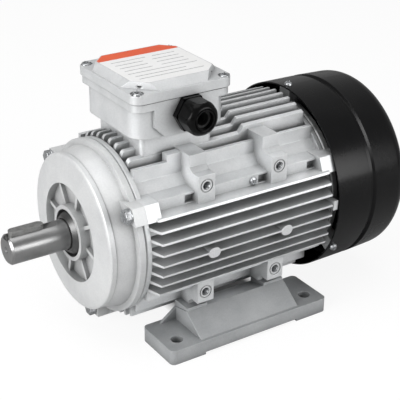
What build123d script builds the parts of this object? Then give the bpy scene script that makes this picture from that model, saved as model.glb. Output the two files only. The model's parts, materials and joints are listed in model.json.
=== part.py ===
from build123d import *
from math import asin, cos, degrees, pi, radians, sin, sqrt, tan
import os

os.makedirs("parts", exist_ok=True)

# A foot-mounted three-phase induction motor, fan cooled, in millimetres.
# The origin is the middle of the four foot holes, on the surface the feet stand on.
# X runs along the shaft with the drive end towards -X, and Z is up.
# Lengths called "level" are heights above the shaft axis.

# Mounting frame
shaft_height = 90.0
foot_pitch_x = 125.0
foot_pitch_y = 140.0
foot_hole_diameter = 10.0
shoulder_to_foot_hole = 56.0

# Clearances
running_gap = 0.3
slide_gap = 0.05
bolt_gap = 0.3
thread_step = 0.6

# Shaft
drive_diameter = 24.0
drive_length = 50.0
drive_chamfer = 1.6
bearing_seat_diameter = 25.0
core_seat_diameter = 30.0
fan_seat_diameter = 22.0
centre_drill_diameter = 5.0
centre_drill_depth = 5.0
key_width = 8.0
key_height = 7.0
key_length = 28.0
key_depth = 4.0
key_setback = 2.5
keyway_runout = 11.0

# Ball bearings
bearing_outer_diameter = 52.0
bearing_width = 15.0
bearing_ring_thickness = 4.0
bearing_ball_diameter = 7.9
bearing_ball_count = 9
bearing_cage_thickness = 2.0
bearing_cage_width = 9.6
bearing_corner = 1.0

# Shaft seals
seal_outer_diameter = 38.0
seal_width = 5.0

# Rubber ring on the shaft in front of the drive end seal
v_ring_front_x = -120.2
v_ring_front_radius = 13.9
v_ring_lip_x = -116.5
v_ring_lip_radius = 17.0
v_ring_lip_thickness = 1.5
v_ring_body_radius = 15.6
v_ring_back_x = -113.2

# Barrel of the housing
body_half_length = 87.5
bore_radius = 60.0
register_radius = 61.0
register_depth = 6.0
barrel_radius = 65.0
flange_radius = 69.0
flange_thickness = 4.4

# Side fins, level plates in a row on each side
side_fin_count = 8
side_fin_pitch = 8.9
side_fin_tip_thickness = 1.5
side_fin_root_thickness = 3.2
fin_tip_radius = 79.5
fin_end_rake = 3.6
fin_root_sink = 2.5

# Top and bottom fins, upright plates that ramp up behind the terminal box
top_fin_count = 8
top_fin_pitch = 9.1
top_fin_tip_thickness = 2.6
top_fin_root_thickness = 3.6
top_fin_low_radius = 72.3
top_fin_full_radius = 77.2
top_fin_end_rake = 1.6
ramp_start_x = 18.0
ramp_length = 4.0
fin_nose_radius = 3.0

# Corner rails between the fin rows
rail_wall_y = 42.8
rail_wall_thickness = 3.6
rail_wall_top = 60.5
rail_wall_foot = 50.0
rail_shelf_y = 49.5
rail_shelf_level = 42.5
rail_side_y = 61.0
rail_lip_level = 41.2
rail_side_foot = 31.2
rail_pocket_length = 8.5
rail_pocket_depth = 4.5
rail_lip_thickness = 1.8

# Side mounting bosses, two by two on each side
boss_pitch_x = 67.4
boss_pitch_z = 91.2
boss_width = 15.0
boss_face_y = 66.5
boss_end_level = 54.4
boss_step_y = 58.2
block_face_y = 53.8
block_slope_level = 57.4
block_top_level = 66.8
block_back_y = 32.0
boss_foot_level = 30.0
boss_thread_core = 6.8
boss_thread_depth = 13.0
boss_ring_outer = 11.2
boss_ring_inner = 9.2
boss_ring_depth = 0.8
stub_length = 12.6
stub_thickness = 7.0

# Oval cast nubs on the side fins
nub_width = 10.5
nub_height = 8.3
nub_pitch_x = 68.4
nub_level = -5.0

# Small cast tab behind the side fins on the cable gland side
rear_tab_length = 4.5
rear_tab_height = 8.0
rear_tab_level = 3.5
rear_tab_side_y = 79.0

# End shield lugs and bolts
lug_circle_radius = 72.8
lug_start_angle = 30.0
lug_count = 3
lug_low_y = 71.6
lug_low_level = 30.2
lug_high_y = 66.0
lug_high_level = 42.7
lug_bottom_radius = 78.4
lug_bottom_half_width = 7.7
lug_drive_length = 12.0
lug_fan_length = 13.5
lug_shield_thickness = 10.5
joint_chamfer = 1.0
shield_bolt_diameter = 6.0
shield_bolt_head_across = 10.0
shield_bolt_head_height = 4.0
shield_bolt_length = 20.0
washer_thickness = 1.2
washer_radius = 5.6

# Drive end shield
shield_face_x = -113.9
shield_face_radius = 60.4
shield_lip_radius = 62.2
shield_lip_back_x = -109.1
shield_waist_radius = 61.4
shield_drum_radius = 64.8
shield_drum_back_x = -93.8
shield_flange_radius = 69.4
shield_wall = 5.0
recess_radius = 39.5
recess_rim_x = -116.2
recess_floor_x = -109.5
hub_radius = 22.2
hub_face_x = -117.6
rib_count = 8
rib_start_angle = 15.0
rib_thickness = 3.0
rib_setback = 3.2
bearing_pot_wall = 5.0
drive_bearing_setback = 10.0

# Fan end shield, inside the cowl
fan_shield_flange_thickness = 5.0
fan_bearing_x = 93.0
fan_pot_wall = 4.5
fan_shield_wall = 5.0
cowl_pad_count = 3
cowl_pad_start_angle = 90.0
cowl_pad_width = 13.0
cowl_pad_length = 9.0

# Fan cowl, a drawn steel drum with a grille at its back
cowl_front_x = 85.7
cowl_edge_gap = 0.5
cowl_front_radius = 80.5
cowl_groove_x = 122.2
cowl_groove_depth = 2.0
cowl_groove_half_width = 1.6
cowl_groove_slope = 1.6
cowl_mid_radius = 80.0
cowl_back_radius = 78.4
cowl_back_x = 162.0
cowl_corner = 12.0
cowl_sheet = 1.2
cowl_screw_x = 91.0
grille_ring_count = 4
grille_spoke_count = 6
grille_slot_width = 6.4
grille_bar_width = 4.2
grille_centre_radius = 18.0
grille_spoke_width = 6.0

# Cooling fan
fan_front_x = 118.0
fan_hub_radius = 17.0
fan_hub_length = 26.0
fan_disc_thickness = 2.6
fan_disc_setback = 3.0
fan_radius = 69.0
fan_inlet_radius = 40.0
fan_blade_count = 8
fan_blade_thickness = 2.6
fan_blade_length = 23.0
shaft_tail = 3.4
circlip_thickness = 1.2
circlip_radius = 14.0
circlip_groove_depth = 1.0
circlip_mouth = 6.0

# Electrical parts
core_length = 100.0
core_slot_count = 24
core_slot_width = 6.0
core_slot_depth = 11.0
core_tooth_lip = 1.6
air_gap = 0.5
core_inner_radius = 40.0
winding_length = 24.0
winding_outer_gap = 3.4
winding_inner_radius = 43.0
cage_bar_count = 18
cage_bar_width = 4.0
cage_bar_depth = 7.0
cage_bar_cover = 1.2
cage_ring_length = 8.0
cage_ring_wall = 10.0
cage_vane_length = 5.0
cage_vane_thickness = 2.4

# Terminal box
box_centre_x = -38.4
lid_length = 86.3
lid_width = 88.8
lid_corner = 8.0
lid_bottom_z = 200.4
lid_rim_height = 7.5
lid_panel_height = 5.1
lid_panel_length = 72.0
lid_panel_width = 72.0
lid_panel_cut = 10.0
lid_base_length = 83.0
lid_base_width = 85.0
lid_base_cut = 21.0
lid_wall = 3.0
lid_screw_inset_x = 5.4
lid_screw_inset_y = 5.6
lid_screw_diameter = 5.0
lid_screw_head_radius = 3.8
lid_screw_head_height = 1.8
lid_screw_seat_radius = 5.0
lid_screw_seat_depth = 1.0
lid_screw_length = 12.0
gasket_thickness = 0.8
box_bottom_z = 170.5
box_length = 80.4
box_width = 82.0
box_corner = 14.0
box_wall = 3.4
box_floor = 4.0
box_flange_inset = 1.0
box_flange_height = 5.6
panel_length = 56.0
panel_shift_x = 1.9
panel_cut = 9.0
box_screw_pitch_x = 44.0
box_screw_pitch_y = 50.0
box_screw_diameter = 5.0
box_screw_length = 14.0
box_screw_head_radius = 4.2
box_screw_head_height = 2.8

# Pedestal under the terminal box, cast with the housing
pedestal_length = 63.0
pedestal_width = 65.6
pedestal_corner = 4.0
pedestal_wall = 12.0
lead_window_x = -66.0
lead_window_length = 13.0
lead_window_width = 30.0
floor_window_x = -57.5
floor_window_length = 10.0

# Terminal board
board_centre_x = -29.0
board_length = 32.0
board_width = 40.0
board_height = 7.0
board_rib_height = 4.0
board_rib_width = 1.6
stud_pitch_x = 16.0
stud_pitch_y = 13.0
stud_diameter = 4.0
stud_height = 15.0
nut_across = 7.0
nut_height = 3.2
link_width = 8.0
link_thickness = 1.0
link_length = 22.0

# Cable gland
gland_x = -34.4
gland_z = 187.1
gland_hex_across = 25.6
gland_flange_thickness = 4.6
gland_thread_radius = 9.8
gland_hole_radius = 10.1
gland_bore_radius = 7.5
gland_thread_inside = 12.0
gland_cap_gap = 1.0
gland_cap_hex_length = 7.6
gland_dome_length = 8.4
gland_end_radius = 10.6
gland_nose_round = 2.4
gland_mouth_radius = 6.8
gland_seal_bore_radius = 5.2
gland_seal_length = 11.0
gland_cap_wall = 2.2
locknut_across = 23.0
locknut_thickness = 4.5

# Feet
foot_length = 150.6
foot_outer_y = 84.0
foot_inner_y = 39.4
foot_plate = 12.5
foot_corner = 4.0
web_half_length = 47.3
web_slope_foot_y = 81.2
web_slope_top_y = 60.0
web_slope_top_z = 27.3
web_inner_y = 42.0
web_inner_z = 23.0
seat_z = 29.4
seat_x = 37.2
seat_length = 19.0
gusset_length = 14.2
gusset_thickness = 2.6
relief_half_length = 44.5
relief_depth = 2.0
foot_bolt_y = 51.0
foot_bolt_diameter = 8.0
foot_bolt_head_radius = 6.5
foot_bolt_head_height = 8.0
foot_bolt_sink = 10.0
foot_bolt_end_z = 40.0
foot_bolt_socket_across = 6.0
foot_bolt_socket_depth = 4.0

# Small screws
cowl_screw_diameter = 5.0
cowl_screw_head_radius = 3.4
cowl_screw_head_height = 2.6
cowl_screw_length = 9.0
earth_screw_x = 12.6
earth_screw_diameter = 4.0
earth_screw_head_radius = 3.2
earth_screw_head_height = 2.6
earth_screw_length = 7.0

# Preload spring
spring_thickness = 0.6
spring_space = 2.0
spring_radial_gap = 0.4

# Values worked out from the ones above
shoulder_x = -foot_pitch_x / 2 - shoulder_to_foot_hole
shaft_end_x = shoulder_x - drive_length
drive_bearing_x = hub_face_x + drive_bearing_setback
bearing_bore_radius = bearing_seat_diameter / 2
bearing_radius = bearing_outer_diameter / 2
ball_circle_radius = (bearing_bore_radius + bearing_radius) / 2
fin_root_x = body_half_length - flange_thickness
fin_tip_x = fin_root_x - fin_end_rake
fan_shield_face_x = body_half_length + fan_shield_flange_thickness
fan_shoulder_x = fan_bearing_x + bearing_width + spring_space
fan_seal_x = fan_shoulder_x
fan_seat_x = fan_seal_x + seal_width
fan_end_x = fan_front_x + fan_hub_length
circlip_x = fan_end_x
shaft_tail_x = circlip_x + circlip_thickness + shaft_tail
lid_rim_top_z = lid_bottom_z + lid_rim_height
lid_top_z = lid_rim_top_z + lid_panel_height
lid_seat_z = lid_rim_top_z - lid_screw_seat_depth
lid_screw_pitch_x = lid_length - 2 * lid_screw_inset_x
lid_screw_pitch_y = lid_width - 2 * lid_screw_inset_y
box_top_z = lid_bottom_z - gasket_thickness
box_floor_z = box_bottom_z + gasket_thickness + box_floor
box_base_z = box_bottom_z + gasket_thickness
pedestal_top_level = box_bottom_z - shaft_height
rotor_radius = core_inner_radius - air_gap
panel_face_y = lid_width / 2 - box_flange_inset
cowl_bore_radius = cowl_mid_radius - cowl_sheet
cowl_pad_angles = [cowl_pad_start_angle + turn * 360 / cowl_pad_count for turn in range(cowl_pad_count)]

# Planes and axes
shaft_axis = Axis((0, 0, shaft_height), (1, 0, 0))
lengthwise = Plane(origin=(0, 0, shaft_height), x_dir=(1, 0, 0), z_dir=(0, -1, 0))


def crosswise(x):
    """A plane across the shaft: local x is +Y and local y is the level above the shaft."""
    return Plane(origin=(x, 0, shaft_height), x_dir=(0, 1, 0), z_dir=(1, 0, 0))


def facing_side(y, side):
    """An upright plane at +Y or -Y that looks outwards, with local y upwards."""
    return Plane(origin=(0, side * y, 0), x_dir=(-side, 0, 0), z_dir=(0, side, 0))


def outline(plane, points):
    """A closed straight-sided outline on a plane."""
    with BuildSketch(plane) as shape:
        with BuildLine():
            Polyline(*points, close=True)
        make_face()
    return shape.sketch


def outlines(plane, point_lists):
    """Several closed straight-sided outlines on one plane, as one sketch."""
    with BuildSketch(plane) as shapes:
        for points in point_lists:
            with BuildLine():
                Polyline(*points, close=True)
            make_face()
    return shapes.sketch


def hexagon_radius(across_flats):
    """The corner radius of a hexagon with this width across its flats."""
    return across_flats / 2 / cos(radians(30))


def save(piece, name):
    """Labels a finished piece and writes it to its own file."""
    piece.part.label = name
    export_step(piece.part, f"parts/{name}.step")


# Housing: fins


def fin_section(y, root_level, tip_level, tip_thickness, root_thickness, upright):
    """The tapered section of one fin, from its root to its tip."""
    half_root = root_thickness / 2
    half_tip = tip_thickness / 2
    if upright:
        return [
            (y - half_root, root_level),
            (y + half_root, root_level),
            (y + half_tip, tip_level),
            (y - half_tip, tip_level),
        ]
    return [
        (root_level, y - half_root),
        (root_level, y + half_root),
        (tip_level, y + half_tip),
        (tip_level, y - half_tip),
    ]


def side_fin_sections():
    """The sections of all the level fins on both sides."""
    sections = []
    for side in (-1, 1):
        for row in range(side_fin_count):
            level = (row - (side_fin_count - 1) / 2) * side_fin_pitch
            root = sqrt((barrel_radius - fin_root_sink) ** 2 - level**2)
            sections.append(
                fin_section(
                    level,
                    side * root,
                    side * fin_tip_radius,
                    side_fin_tip_thickness,
                    side_fin_root_thickness,
                    False,
                )
            )
    return sections


with BuildPart() as side_fins:
    extrude(outlines(crosswise(-fin_root_x), side_fin_sections()), amount=2 * fin_root_x)
    # The fin tips lie on one circle, and both ends are raked
    revolve(
        outline(
            lengthwise,
            [
                (-fin_root_x, bore_radius),
                (-fin_root_x, flange_radius),
                (-fin_tip_x, fin_tip_radius),
                (fin_tip_x, fin_tip_radius),
                (fin_root_x, flange_radius),
                (fin_root_x, bore_radius),
            ],
        ),
        axis=shaft_axis,
        mode=Mode.INTERSECT,
    )


def upright_fins(level_side):
    """The row of upright fins above or below the barrel, before its ends are shaped."""
    sections = []
    for place in range(top_fin_count):
        y = (place - (top_fin_count - 1) / 2) * top_fin_pitch
        root = sqrt((barrel_radius - fin_root_sink) ** 2 - y**2)
        sections.append(
            fin_section(
                y,
                level_side * root,
                level_side * top_fin_full_radius,
                top_fin_tip_thickness,
                top_fin_root_thickness,
                True,
            )
        )
    with BuildPart() as row:
        extrude(outlines(crosswise(-fin_root_x), sections), amount=2 * fin_root_x)
    return row.part


with BuildSketch(lengthwise) as top_fin_envelope:
    with BuildLine():
        Polyline(
            (-fin_root_x, bore_radius),
            (-fin_root_x + top_fin_end_rake, top_fin_low_radius),
            (ramp_start_x, top_fin_low_radius),
            (ramp_start_x + ramp_length, top_fin_full_radius),
            (fin_root_x - top_fin_end_rake, top_fin_full_radius),
            (fin_root_x, bore_radius),
            close=True,
        )
    make_face()
    nose = top_fin_envelope.vertices().sort_by(Axis.X)[1:2]
    fillet(nose, radius=fin_nose_radius)

with BuildSketch(lengthwise) as bottom_fin_envelope:
    with BuildLine():
        Polyline(
            (-fin_root_x, bore_radius),
            (-fin_root_x + top_fin_end_rake, top_fin_full_radius),
            (fin_root_x - top_fin_end_rake, top_fin_full_radius),
            (fin_root_x, bore_radius),
            close=True,
        )
    make_face()

with BuildPart() as top_fins:
    add(upright_fins(1))
    revolve(top_fin_envelope.sketch, axis=shaft_axis, mode=Mode.INTERSECT)

with BuildPart() as bottom_fins:
    add(upright_fins(-1))
    revolve(bottom_fin_envelope.sketch, axis=shaft_axis, mode=Mode.INTERSECT)


# Housing: section outlines for the corners


def rail_section(side, up):
    """The stepped corner rail: outer fin wall, slope, shelf and side wall."""
    wall_inner_y = rail_wall_y - rail_wall_thickness
    sunk = barrel_radius - fin_root_sink
    points = [
        (wall_inner_y, rail_wall_top),
        (rail_wall_y, rail_wall_top),
        (rail_wall_y, rail_wall_foot),
        (rail_shelf_y, rail_shelf_level),
        (rail_side_y, rail_lip_level),
        (rail_side_y, rail_side_foot),
        (sqrt(sunk**2 - rail_side_foot**2), rail_side_foot),
        (sunk * cos(pi / 4), sunk * sin(pi / 4)),
        (wall_inner_y, sqrt(sunk**2 - wall_inner_y**2)),
    ]
    return [(side * y, up * level) for y, level in points]


def boss_section(side, up, block_level):
    """The stepped section of a mounting boss and the block behind it."""
    sunk = barrel_radius - fin_root_sink
    slope_level = min(block_slope_level, block_level)
    points = [
        (sqrt(sunk**2 - boss_foot_level**2), boss_foot_level),
        (boss_face_y, boss_foot_level),
        (boss_face_y, boss_end_level),
        (boss_step_y, boss_end_level),
        (block_face_y, slope_level),
        (block_face_y, block_level),
        (block_back_y, block_level),
        (block_back_y, sqrt(sunk**2 - block_back_y**2)),
        (sunk * cos(pi / 4), sunk * sin(pi / 4)),
    ]
    return [(side * y, up * level) for y, level in points]


def lug_sections():
    """The outlines of the three bolt lugs: two at the sides and one below."""
    inner_low_y = sqrt(bore_radius**2 - lug_low_level**2)
    inner_high_y = sqrt(bore_radius**2 - lug_high_level**2)
    sides = []
    for side in (-1, 1):
        sides.append(
            [
                (side * inner_low_y, lug_low_level),
                (side * lug_low_y, lug_low_level),
                (side * lug_high_y, lug_high_level),
                (side * inner_high_y, lug_high_level),
            ]
        )
    below = [
        (-lug_bottom_half_width, -lug_bottom_radius),
        (lug_bottom_half_width, -lug_bottom_radius),
        (lug_bottom_half_width, -bore_radius),
        (-lug_bottom_half_width, -bore_radius),
    ]
    return sides + [below]


with BuildPart() as rear_lugs:
    extrude(
        outlines(crosswise(body_half_length - lug_fan_length), lug_sections()),
        amount=lug_fan_length,
    )
    # They step down in front of the cowl, so that it slips over their ends
    clear_radius = lug_low_y + lug_high_level
    revolve(
        outline(
            lengthwise,
            [
                (0, 0),
                (0, clear_radius),
                (cowl_front_x - cowl_edge_gap, clear_radius),
                (cowl_front_x - cowl_edge_gap, cowl_bore_radius - slide_gap),
                (body_half_length, cowl_bore_radius - slide_gap),
                (body_half_length, 0),
            ],
        ),
        axis=shaft_axis,
        mode=Mode.INTERSECT,
    )


with BuildPart() as housing:
    # Barrel with a flange and a register bore at each end
    revolve(
        outline(
            lengthwise,
            [
                (-body_half_length, register_radius),
                (-body_half_length, flange_radius - joint_chamfer),
                (-body_half_length + joint_chamfer, flange_radius),
                (-fin_root_x, flange_radius),
                (-fin_root_x, barrel_radius),
                (fin_root_x, barrel_radius),
                (fin_root_x, flange_radius),
                (body_half_length - joint_chamfer, flange_radius),
                (body_half_length, flange_radius - joint_chamfer),
                (body_half_length, register_radius),
                (body_half_length - register_depth, register_radius),
                (body_half_length - register_depth, bore_radius),
                (-body_half_length + register_depth, bore_radius),
                (-body_half_length + register_depth, register_radius),
            ],
        ),
        axis=shaft_axis,
    )
    add(side_fins.part)
    add(top_fins.part)
    add(bottom_fins.part)

    # Corner rails along the whole body
    corners = [(side, up) for side in (-1, 1) for up in (-1, 1)]
    rails = [rail_section(side, up) for side, up in corners]
    extrude(outlines(crosswise(-fin_root_x), rails), amount=2 * fin_root_x)

    # Mounting bosses, with the lower blocks cut short as seats for the feet
    block_levels = {1: block_top_level, -1: shaft_height - seat_z}
    bosses = [boss_section(side, up, block_levels[up]) for side, up in corners]
    for x in (-boss_pitch_x / 2, boss_pitch_x / 2):
        extrude(outlines(crosswise(x - boss_width / 2), bosses), amount=boss_width)

    # A thick stub of the outer fin in front of each leading boss
    stub_x = -boss_pitch_x / 2 - boss_width / 2 - stub_length
    stubs = []
    for side, up in corners:
        stub_top = block_levels[up] - thread_step
        stub_inner_y = rail_wall_y - stub_thickness
        stubs.append(
            [
                (side * rail_wall_y, up * rail_wall_foot),
                (side * rail_wall_y, up * stub_top),
                (side * stub_inner_y, up * stub_top),
                (side * stub_inner_y, up * rail_wall_foot),
            ]
        )
    extrude(outlines(crosswise(stub_x), stubs), amount=stub_length)

    # Bolt lugs at both ends
    extrude(outlines(crosswise(-body_half_length), lug_sections()), amount=lug_drive_length)
    add(rear_lugs.part)

    # Pedestal for the terminal box
    with BuildSketch(Plane.XY.offset(shaft_height + bore_radius - fin_root_sink)):
        with Locations((box_centre_x, 0)):
            RectangleRounded(pedestal_length, pedestal_width, pedestal_corner)
    extrude(amount=pedestal_top_level - bore_radius + fin_root_sink)

    # The bore is cleared again where the pedestal, lugs and stubs were added
    revolve(
        outline(
            lengthwise,
            [
                (-body_half_length, 0),
                (-body_half_length, register_radius),
                (-body_half_length + register_depth, register_radius),
                (-body_half_length + register_depth, bore_radius),
                (body_half_length - register_depth, bore_radius),
                (body_half_length - register_depth, register_radius),
                (body_half_length, register_radius),
                (body_half_length, 0),
            ],
        ),
        axis=shaft_axis,
        mode=Mode.SUBTRACT,
    )

    # Hollow of the pedestal, and the window that the winding leads pass through
    with BuildSketch(Plane.XY.offset(box_bottom_z)):
        with Locations((box_centre_x, 0)):
            RectangleRounded(
                pedestal_length - 2 * pedestal_wall,
                pedestal_width - 2 * pedestal_wall,
                pedestal_corner,
            )
    extrude(amount=-(pedestal_top_level - barrel_radius - fin_root_sink), mode=Mode.SUBTRACT)
    with BuildSketch(Plane.XY.offset(box_bottom_z)):
        with Locations((lead_window_x + lead_window_length / 2, 0)):
            Rectangle(lead_window_length, lead_window_width)
    extrude(amount=-(pedestal_top_level - bore_radius / 2), mode=Mode.SUBTRACT)

    # Pockets under the lip of the upper rails, ahead of each boss and rear lug
    pocket_ends = [
        -boss_pitch_x / 2 - boss_width / 2,
        boss_pitch_x / 2 - boss_width / 2,
        body_half_length - lug_fan_length,
    ]
    pocket_height = rail_lip_level - rail_side_foot - 2 * rail_lip_thickness
    pocket_z = shaft_height + (rail_side_foot + rail_lip_level) / 2
    for side in (-1, 1):
        with BuildSketch(facing_side(rail_side_y, side)):
            for end_x in pocket_ends:
                with Locations((-side * (end_x - rail_pocket_length / 2), pocket_z)):
                    Rectangle(rail_pocket_length, pocket_height)
        extrude(amount=-rail_pocket_depth, mode=Mode.SUBTRACT)

    # Small tab that ends just ahead of the cowl
    with BuildSketch(crosswise(cowl_front_x - cowl_edge_gap - rear_tab_length)):
        with Locations((-(rear_tab_side_y + barrel_radius) / 2, rear_tab_level)):
            Rectangle(rear_tab_side_y - barrel_radius, rear_tab_height)
    extrude(amount=rear_tab_length)

    # Oval nubs on the side fins
    for side in (-1, 1):
        nub_root_y = barrel_radius - fin_root_sink
        with BuildSketch(facing_side(nub_root_y, side)):
            with Locations((0, shaft_height + nub_level)):
                with GridLocations(nub_pitch_x, 0, 2, 1):
                    SlotOverall(nub_width, nub_height)
        extrude(amount=sqrt(fin_tip_radius**2 - nub_level**2) - nub_root_y)

    # Threaded holes in the side bosses, each with a ring groove round it
    for side in (-1, 1):
        with BuildSketch(facing_side(boss_face_y, side)):
            with Locations((0, shaft_height)):
                with GridLocations(boss_pitch_x, boss_pitch_z, 2, 2):
                    Circle(boss_thread_core / 2)
        extrude(amount=-boss_thread_depth, mode=Mode.SUBTRACT)
        with BuildSketch(facing_side(boss_face_y, side)):
            with Locations((0, shaft_height)):
                with GridLocations(boss_pitch_x, boss_pitch_z, 2, 2):
                    Circle(boss_ring_outer / 2)
                    Circle(boss_ring_inner / 2, mode=Mode.SUBTRACT)
        extrude(amount=-boss_ring_depth, mode=Mode.SUBTRACT)

    # Threaded holes for the end shield bolts
    bolt_reach = shield_bolt_length - lug_shield_thickness
    for end_x, way in ((-body_half_length, 1), (body_half_length, -1)):
        with BuildSketch(crosswise(end_x)):
            with PolarLocations(lug_circle_radius, lug_count, lug_start_angle):
                Circle(shield_bolt_diameter / 2)
        extrude(amount=way * min(bolt_reach, lug_fan_length - thread_step), mode=Mode.SUBTRACT)

    # Threaded holes for the foot bolts, the box screws and the earth screw
    with BuildSketch(Plane.XY.offset(seat_z)):
        with GridLocations(boss_pitch_x, 2 * foot_bolt_y, 2, 2):
            Circle(foot_bolt_diameter / 2)
    extrude(amount=foot_bolt_end_z - seat_z + thread_step, mode=Mode.SUBTRACT)
    with BuildSketch(Plane.XY.offset(box_bottom_z)):
        with Locations((box_centre_x, 0)):
            with GridLocations(box_screw_pitch_x, box_screw_pitch_y, 2, 2):
                Circle(box_screw_diameter / 2)
    extrude(amount=-(box_screw_length - box_floor), mode=Mode.SUBTRACT)
    with BuildSketch(facing_side(rail_side_y, -1)):
        with Locations((earth_screw_x, shaft_height + (rail_side_foot + rail_lip_level) / 2)):
            Circle(earth_screw_diameter / 2)
    extrude(amount=-earth_screw_length, mode=Mode.SUBTRACT)
save(housing, "housing")


def lengthwise_at(angle):
    """A plane through the shaft axis at this angle from +Y: local y points outwards."""
    c = cos(radians(angle))
    s = sin(radians(angle))
    return Plane(origin=(0, 0, shaft_height), x_dir=(1, 0, 0), z_dir=(0, -s, c))


def outward_plane(x, radius, angle):
    """A plane that faces away from the shaft axis, at this radius and angle from +Y."""
    c = cos(radians(angle))
    s = sin(radians(angle))
    origin = (x, radius * c, shaft_height + radius * s)
    return Plane(origin=origin, x_dir=(1, 0, 0), z_dir=(0, c, s))


# Stator core and its winding

with BuildPart() as stator_core:
    with BuildSketch(crosswise(-core_length / 2)):
        Circle(bore_radius - slide_gap)
        Circle(core_inner_radius, mode=Mode.SUBTRACT)
        slot_centre = core_inner_radius + core_tooth_lip + core_slot_depth / 2
        with PolarLocations(slot_centre, core_slot_count):
            Rectangle(core_slot_depth, core_slot_width, mode=Mode.SUBTRACT)
        with PolarLocations(core_inner_radius, core_slot_count):
            Rectangle(3 * core_tooth_lip, core_slot_width / 3, mode=Mode.SUBTRACT)
    extrude(amount=core_length)
save(stator_core, "stator_core")


def end_winding(way, name):
    """The taped ring of coil ends that stands out of one end of the core."""
    with BuildPart() as winding:
        with BuildSketch(lengthwise) as ring:
            outer = bore_radius - winding_outer_gap
            start = core_length / 2
            with BuildLine():
                Polyline(
                    (way * start, winding_inner_radius),
                    (way * start, outer - winding_outer_gap),
                    (way * (start + winding_outer_gap), outer),
                    (way * (start + winding_length), outer),
                    (way * (start + winding_length), winding_inner_radius),
                    close=True,
                )
            make_face()
            ends = ring.vertices().group_by(Axis.X)[-1 if way > 0 else 0]
            fillet(ends, radius=(outer - winding_inner_radius) / 3)
        revolve(axis=shaft_axis)
    save(winding, name)


end_winding(-1, "winding_drive_end")
end_winding(1, "winding_fan_end")


# End shields

with BuildPart() as drive_end_shield:
    shield_back_x = -body_half_length
    spigot_radius = register_radius - slide_gap
    spigot_x = shield_back_x + register_depth - thread_step
    pot_radius = bearing_radius + bearing_pot_wall
    pot_back_x = drive_bearing_x + bearing_width
    revolve(
        outline(
            lengthwise,
            [
                (hub_face_x, seal_outer_diameter / 2),
                (hub_face_x, hub_radius),
                (recess_floor_x, hub_radius),
                (recess_floor_x, recess_radius),
                (recess_rim_x, recess_radius),
                (shield_face_x, shield_face_radius - thread_step),
                (shield_face_x + thread_step, shield_lip_radius - thread_step),
                (shield_face_x + 2 * thread_step, shield_lip_radius),
                (shield_lip_back_x, shield_lip_radius),
                (shield_lip_back_x, shield_waist_radius),
                (shield_drum_back_x, shield_drum_radius),
                (shield_drum_back_x + thread_step, shield_flange_radius),
                (shield_back_x - joint_chamfer, shield_flange_radius),
                (shield_back_x, shield_flange_radius - joint_chamfer),
                (shield_back_x, spigot_radius),
                (spigot_x, spigot_radius),
                (spigot_x, spigot_radius - shield_wall),
                (shield_lip_back_x, shield_waist_radius - shield_wall),
                (shield_lip_back_x, recess_radius + shield_wall),
                (recess_floor_x + shield_wall, recess_radius),
                (recess_floor_x + shield_wall, pot_radius),
                (pot_back_x, pot_radius),
                (pot_back_x, bearing_radius + slide_gap),
                (drive_bearing_x, bearing_radius + slide_gap),
                (drive_bearing_x, seal_outer_diameter / 2),
            ],
        ),
        axis=shaft_axis,
    )
    # Ribs across the recess, from the hub to the face
    rib = [
        (recess_floor_x + thread_step, hub_radius - thread_step),
        (recess_rim_x + rib_setback, hub_radius - thread_step),
        (recess_rim_x + rib_setback, recess_radius + thread_step),
        (recess_floor_x + thread_step, recess_radius + thread_step),
    ]
    for turn in range(rib_count):
        rib_plane = lengthwise_at(rib_start_angle + turn * 360 / rib_count)
        extrude(outline(rib_plane, rib), amount=rib_thickness / 2, both=True)
    # Bolt lugs
    extrude(
        outlines(crosswise(shield_back_x), lug_sections()),
        amount=-lug_shield_thickness,
    )
    with BuildSketch(crosswise(shield_back_x)):
        with PolarLocations(lug_circle_radius, lug_count, lug_start_angle):
            Circle(shield_bolt_diameter / 2 + bolt_gap)
    extrude(amount=-2 * lug_shield_thickness, mode=Mode.SUBTRACT)
save(drive_end_shield, "drive_end_shield")

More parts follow.
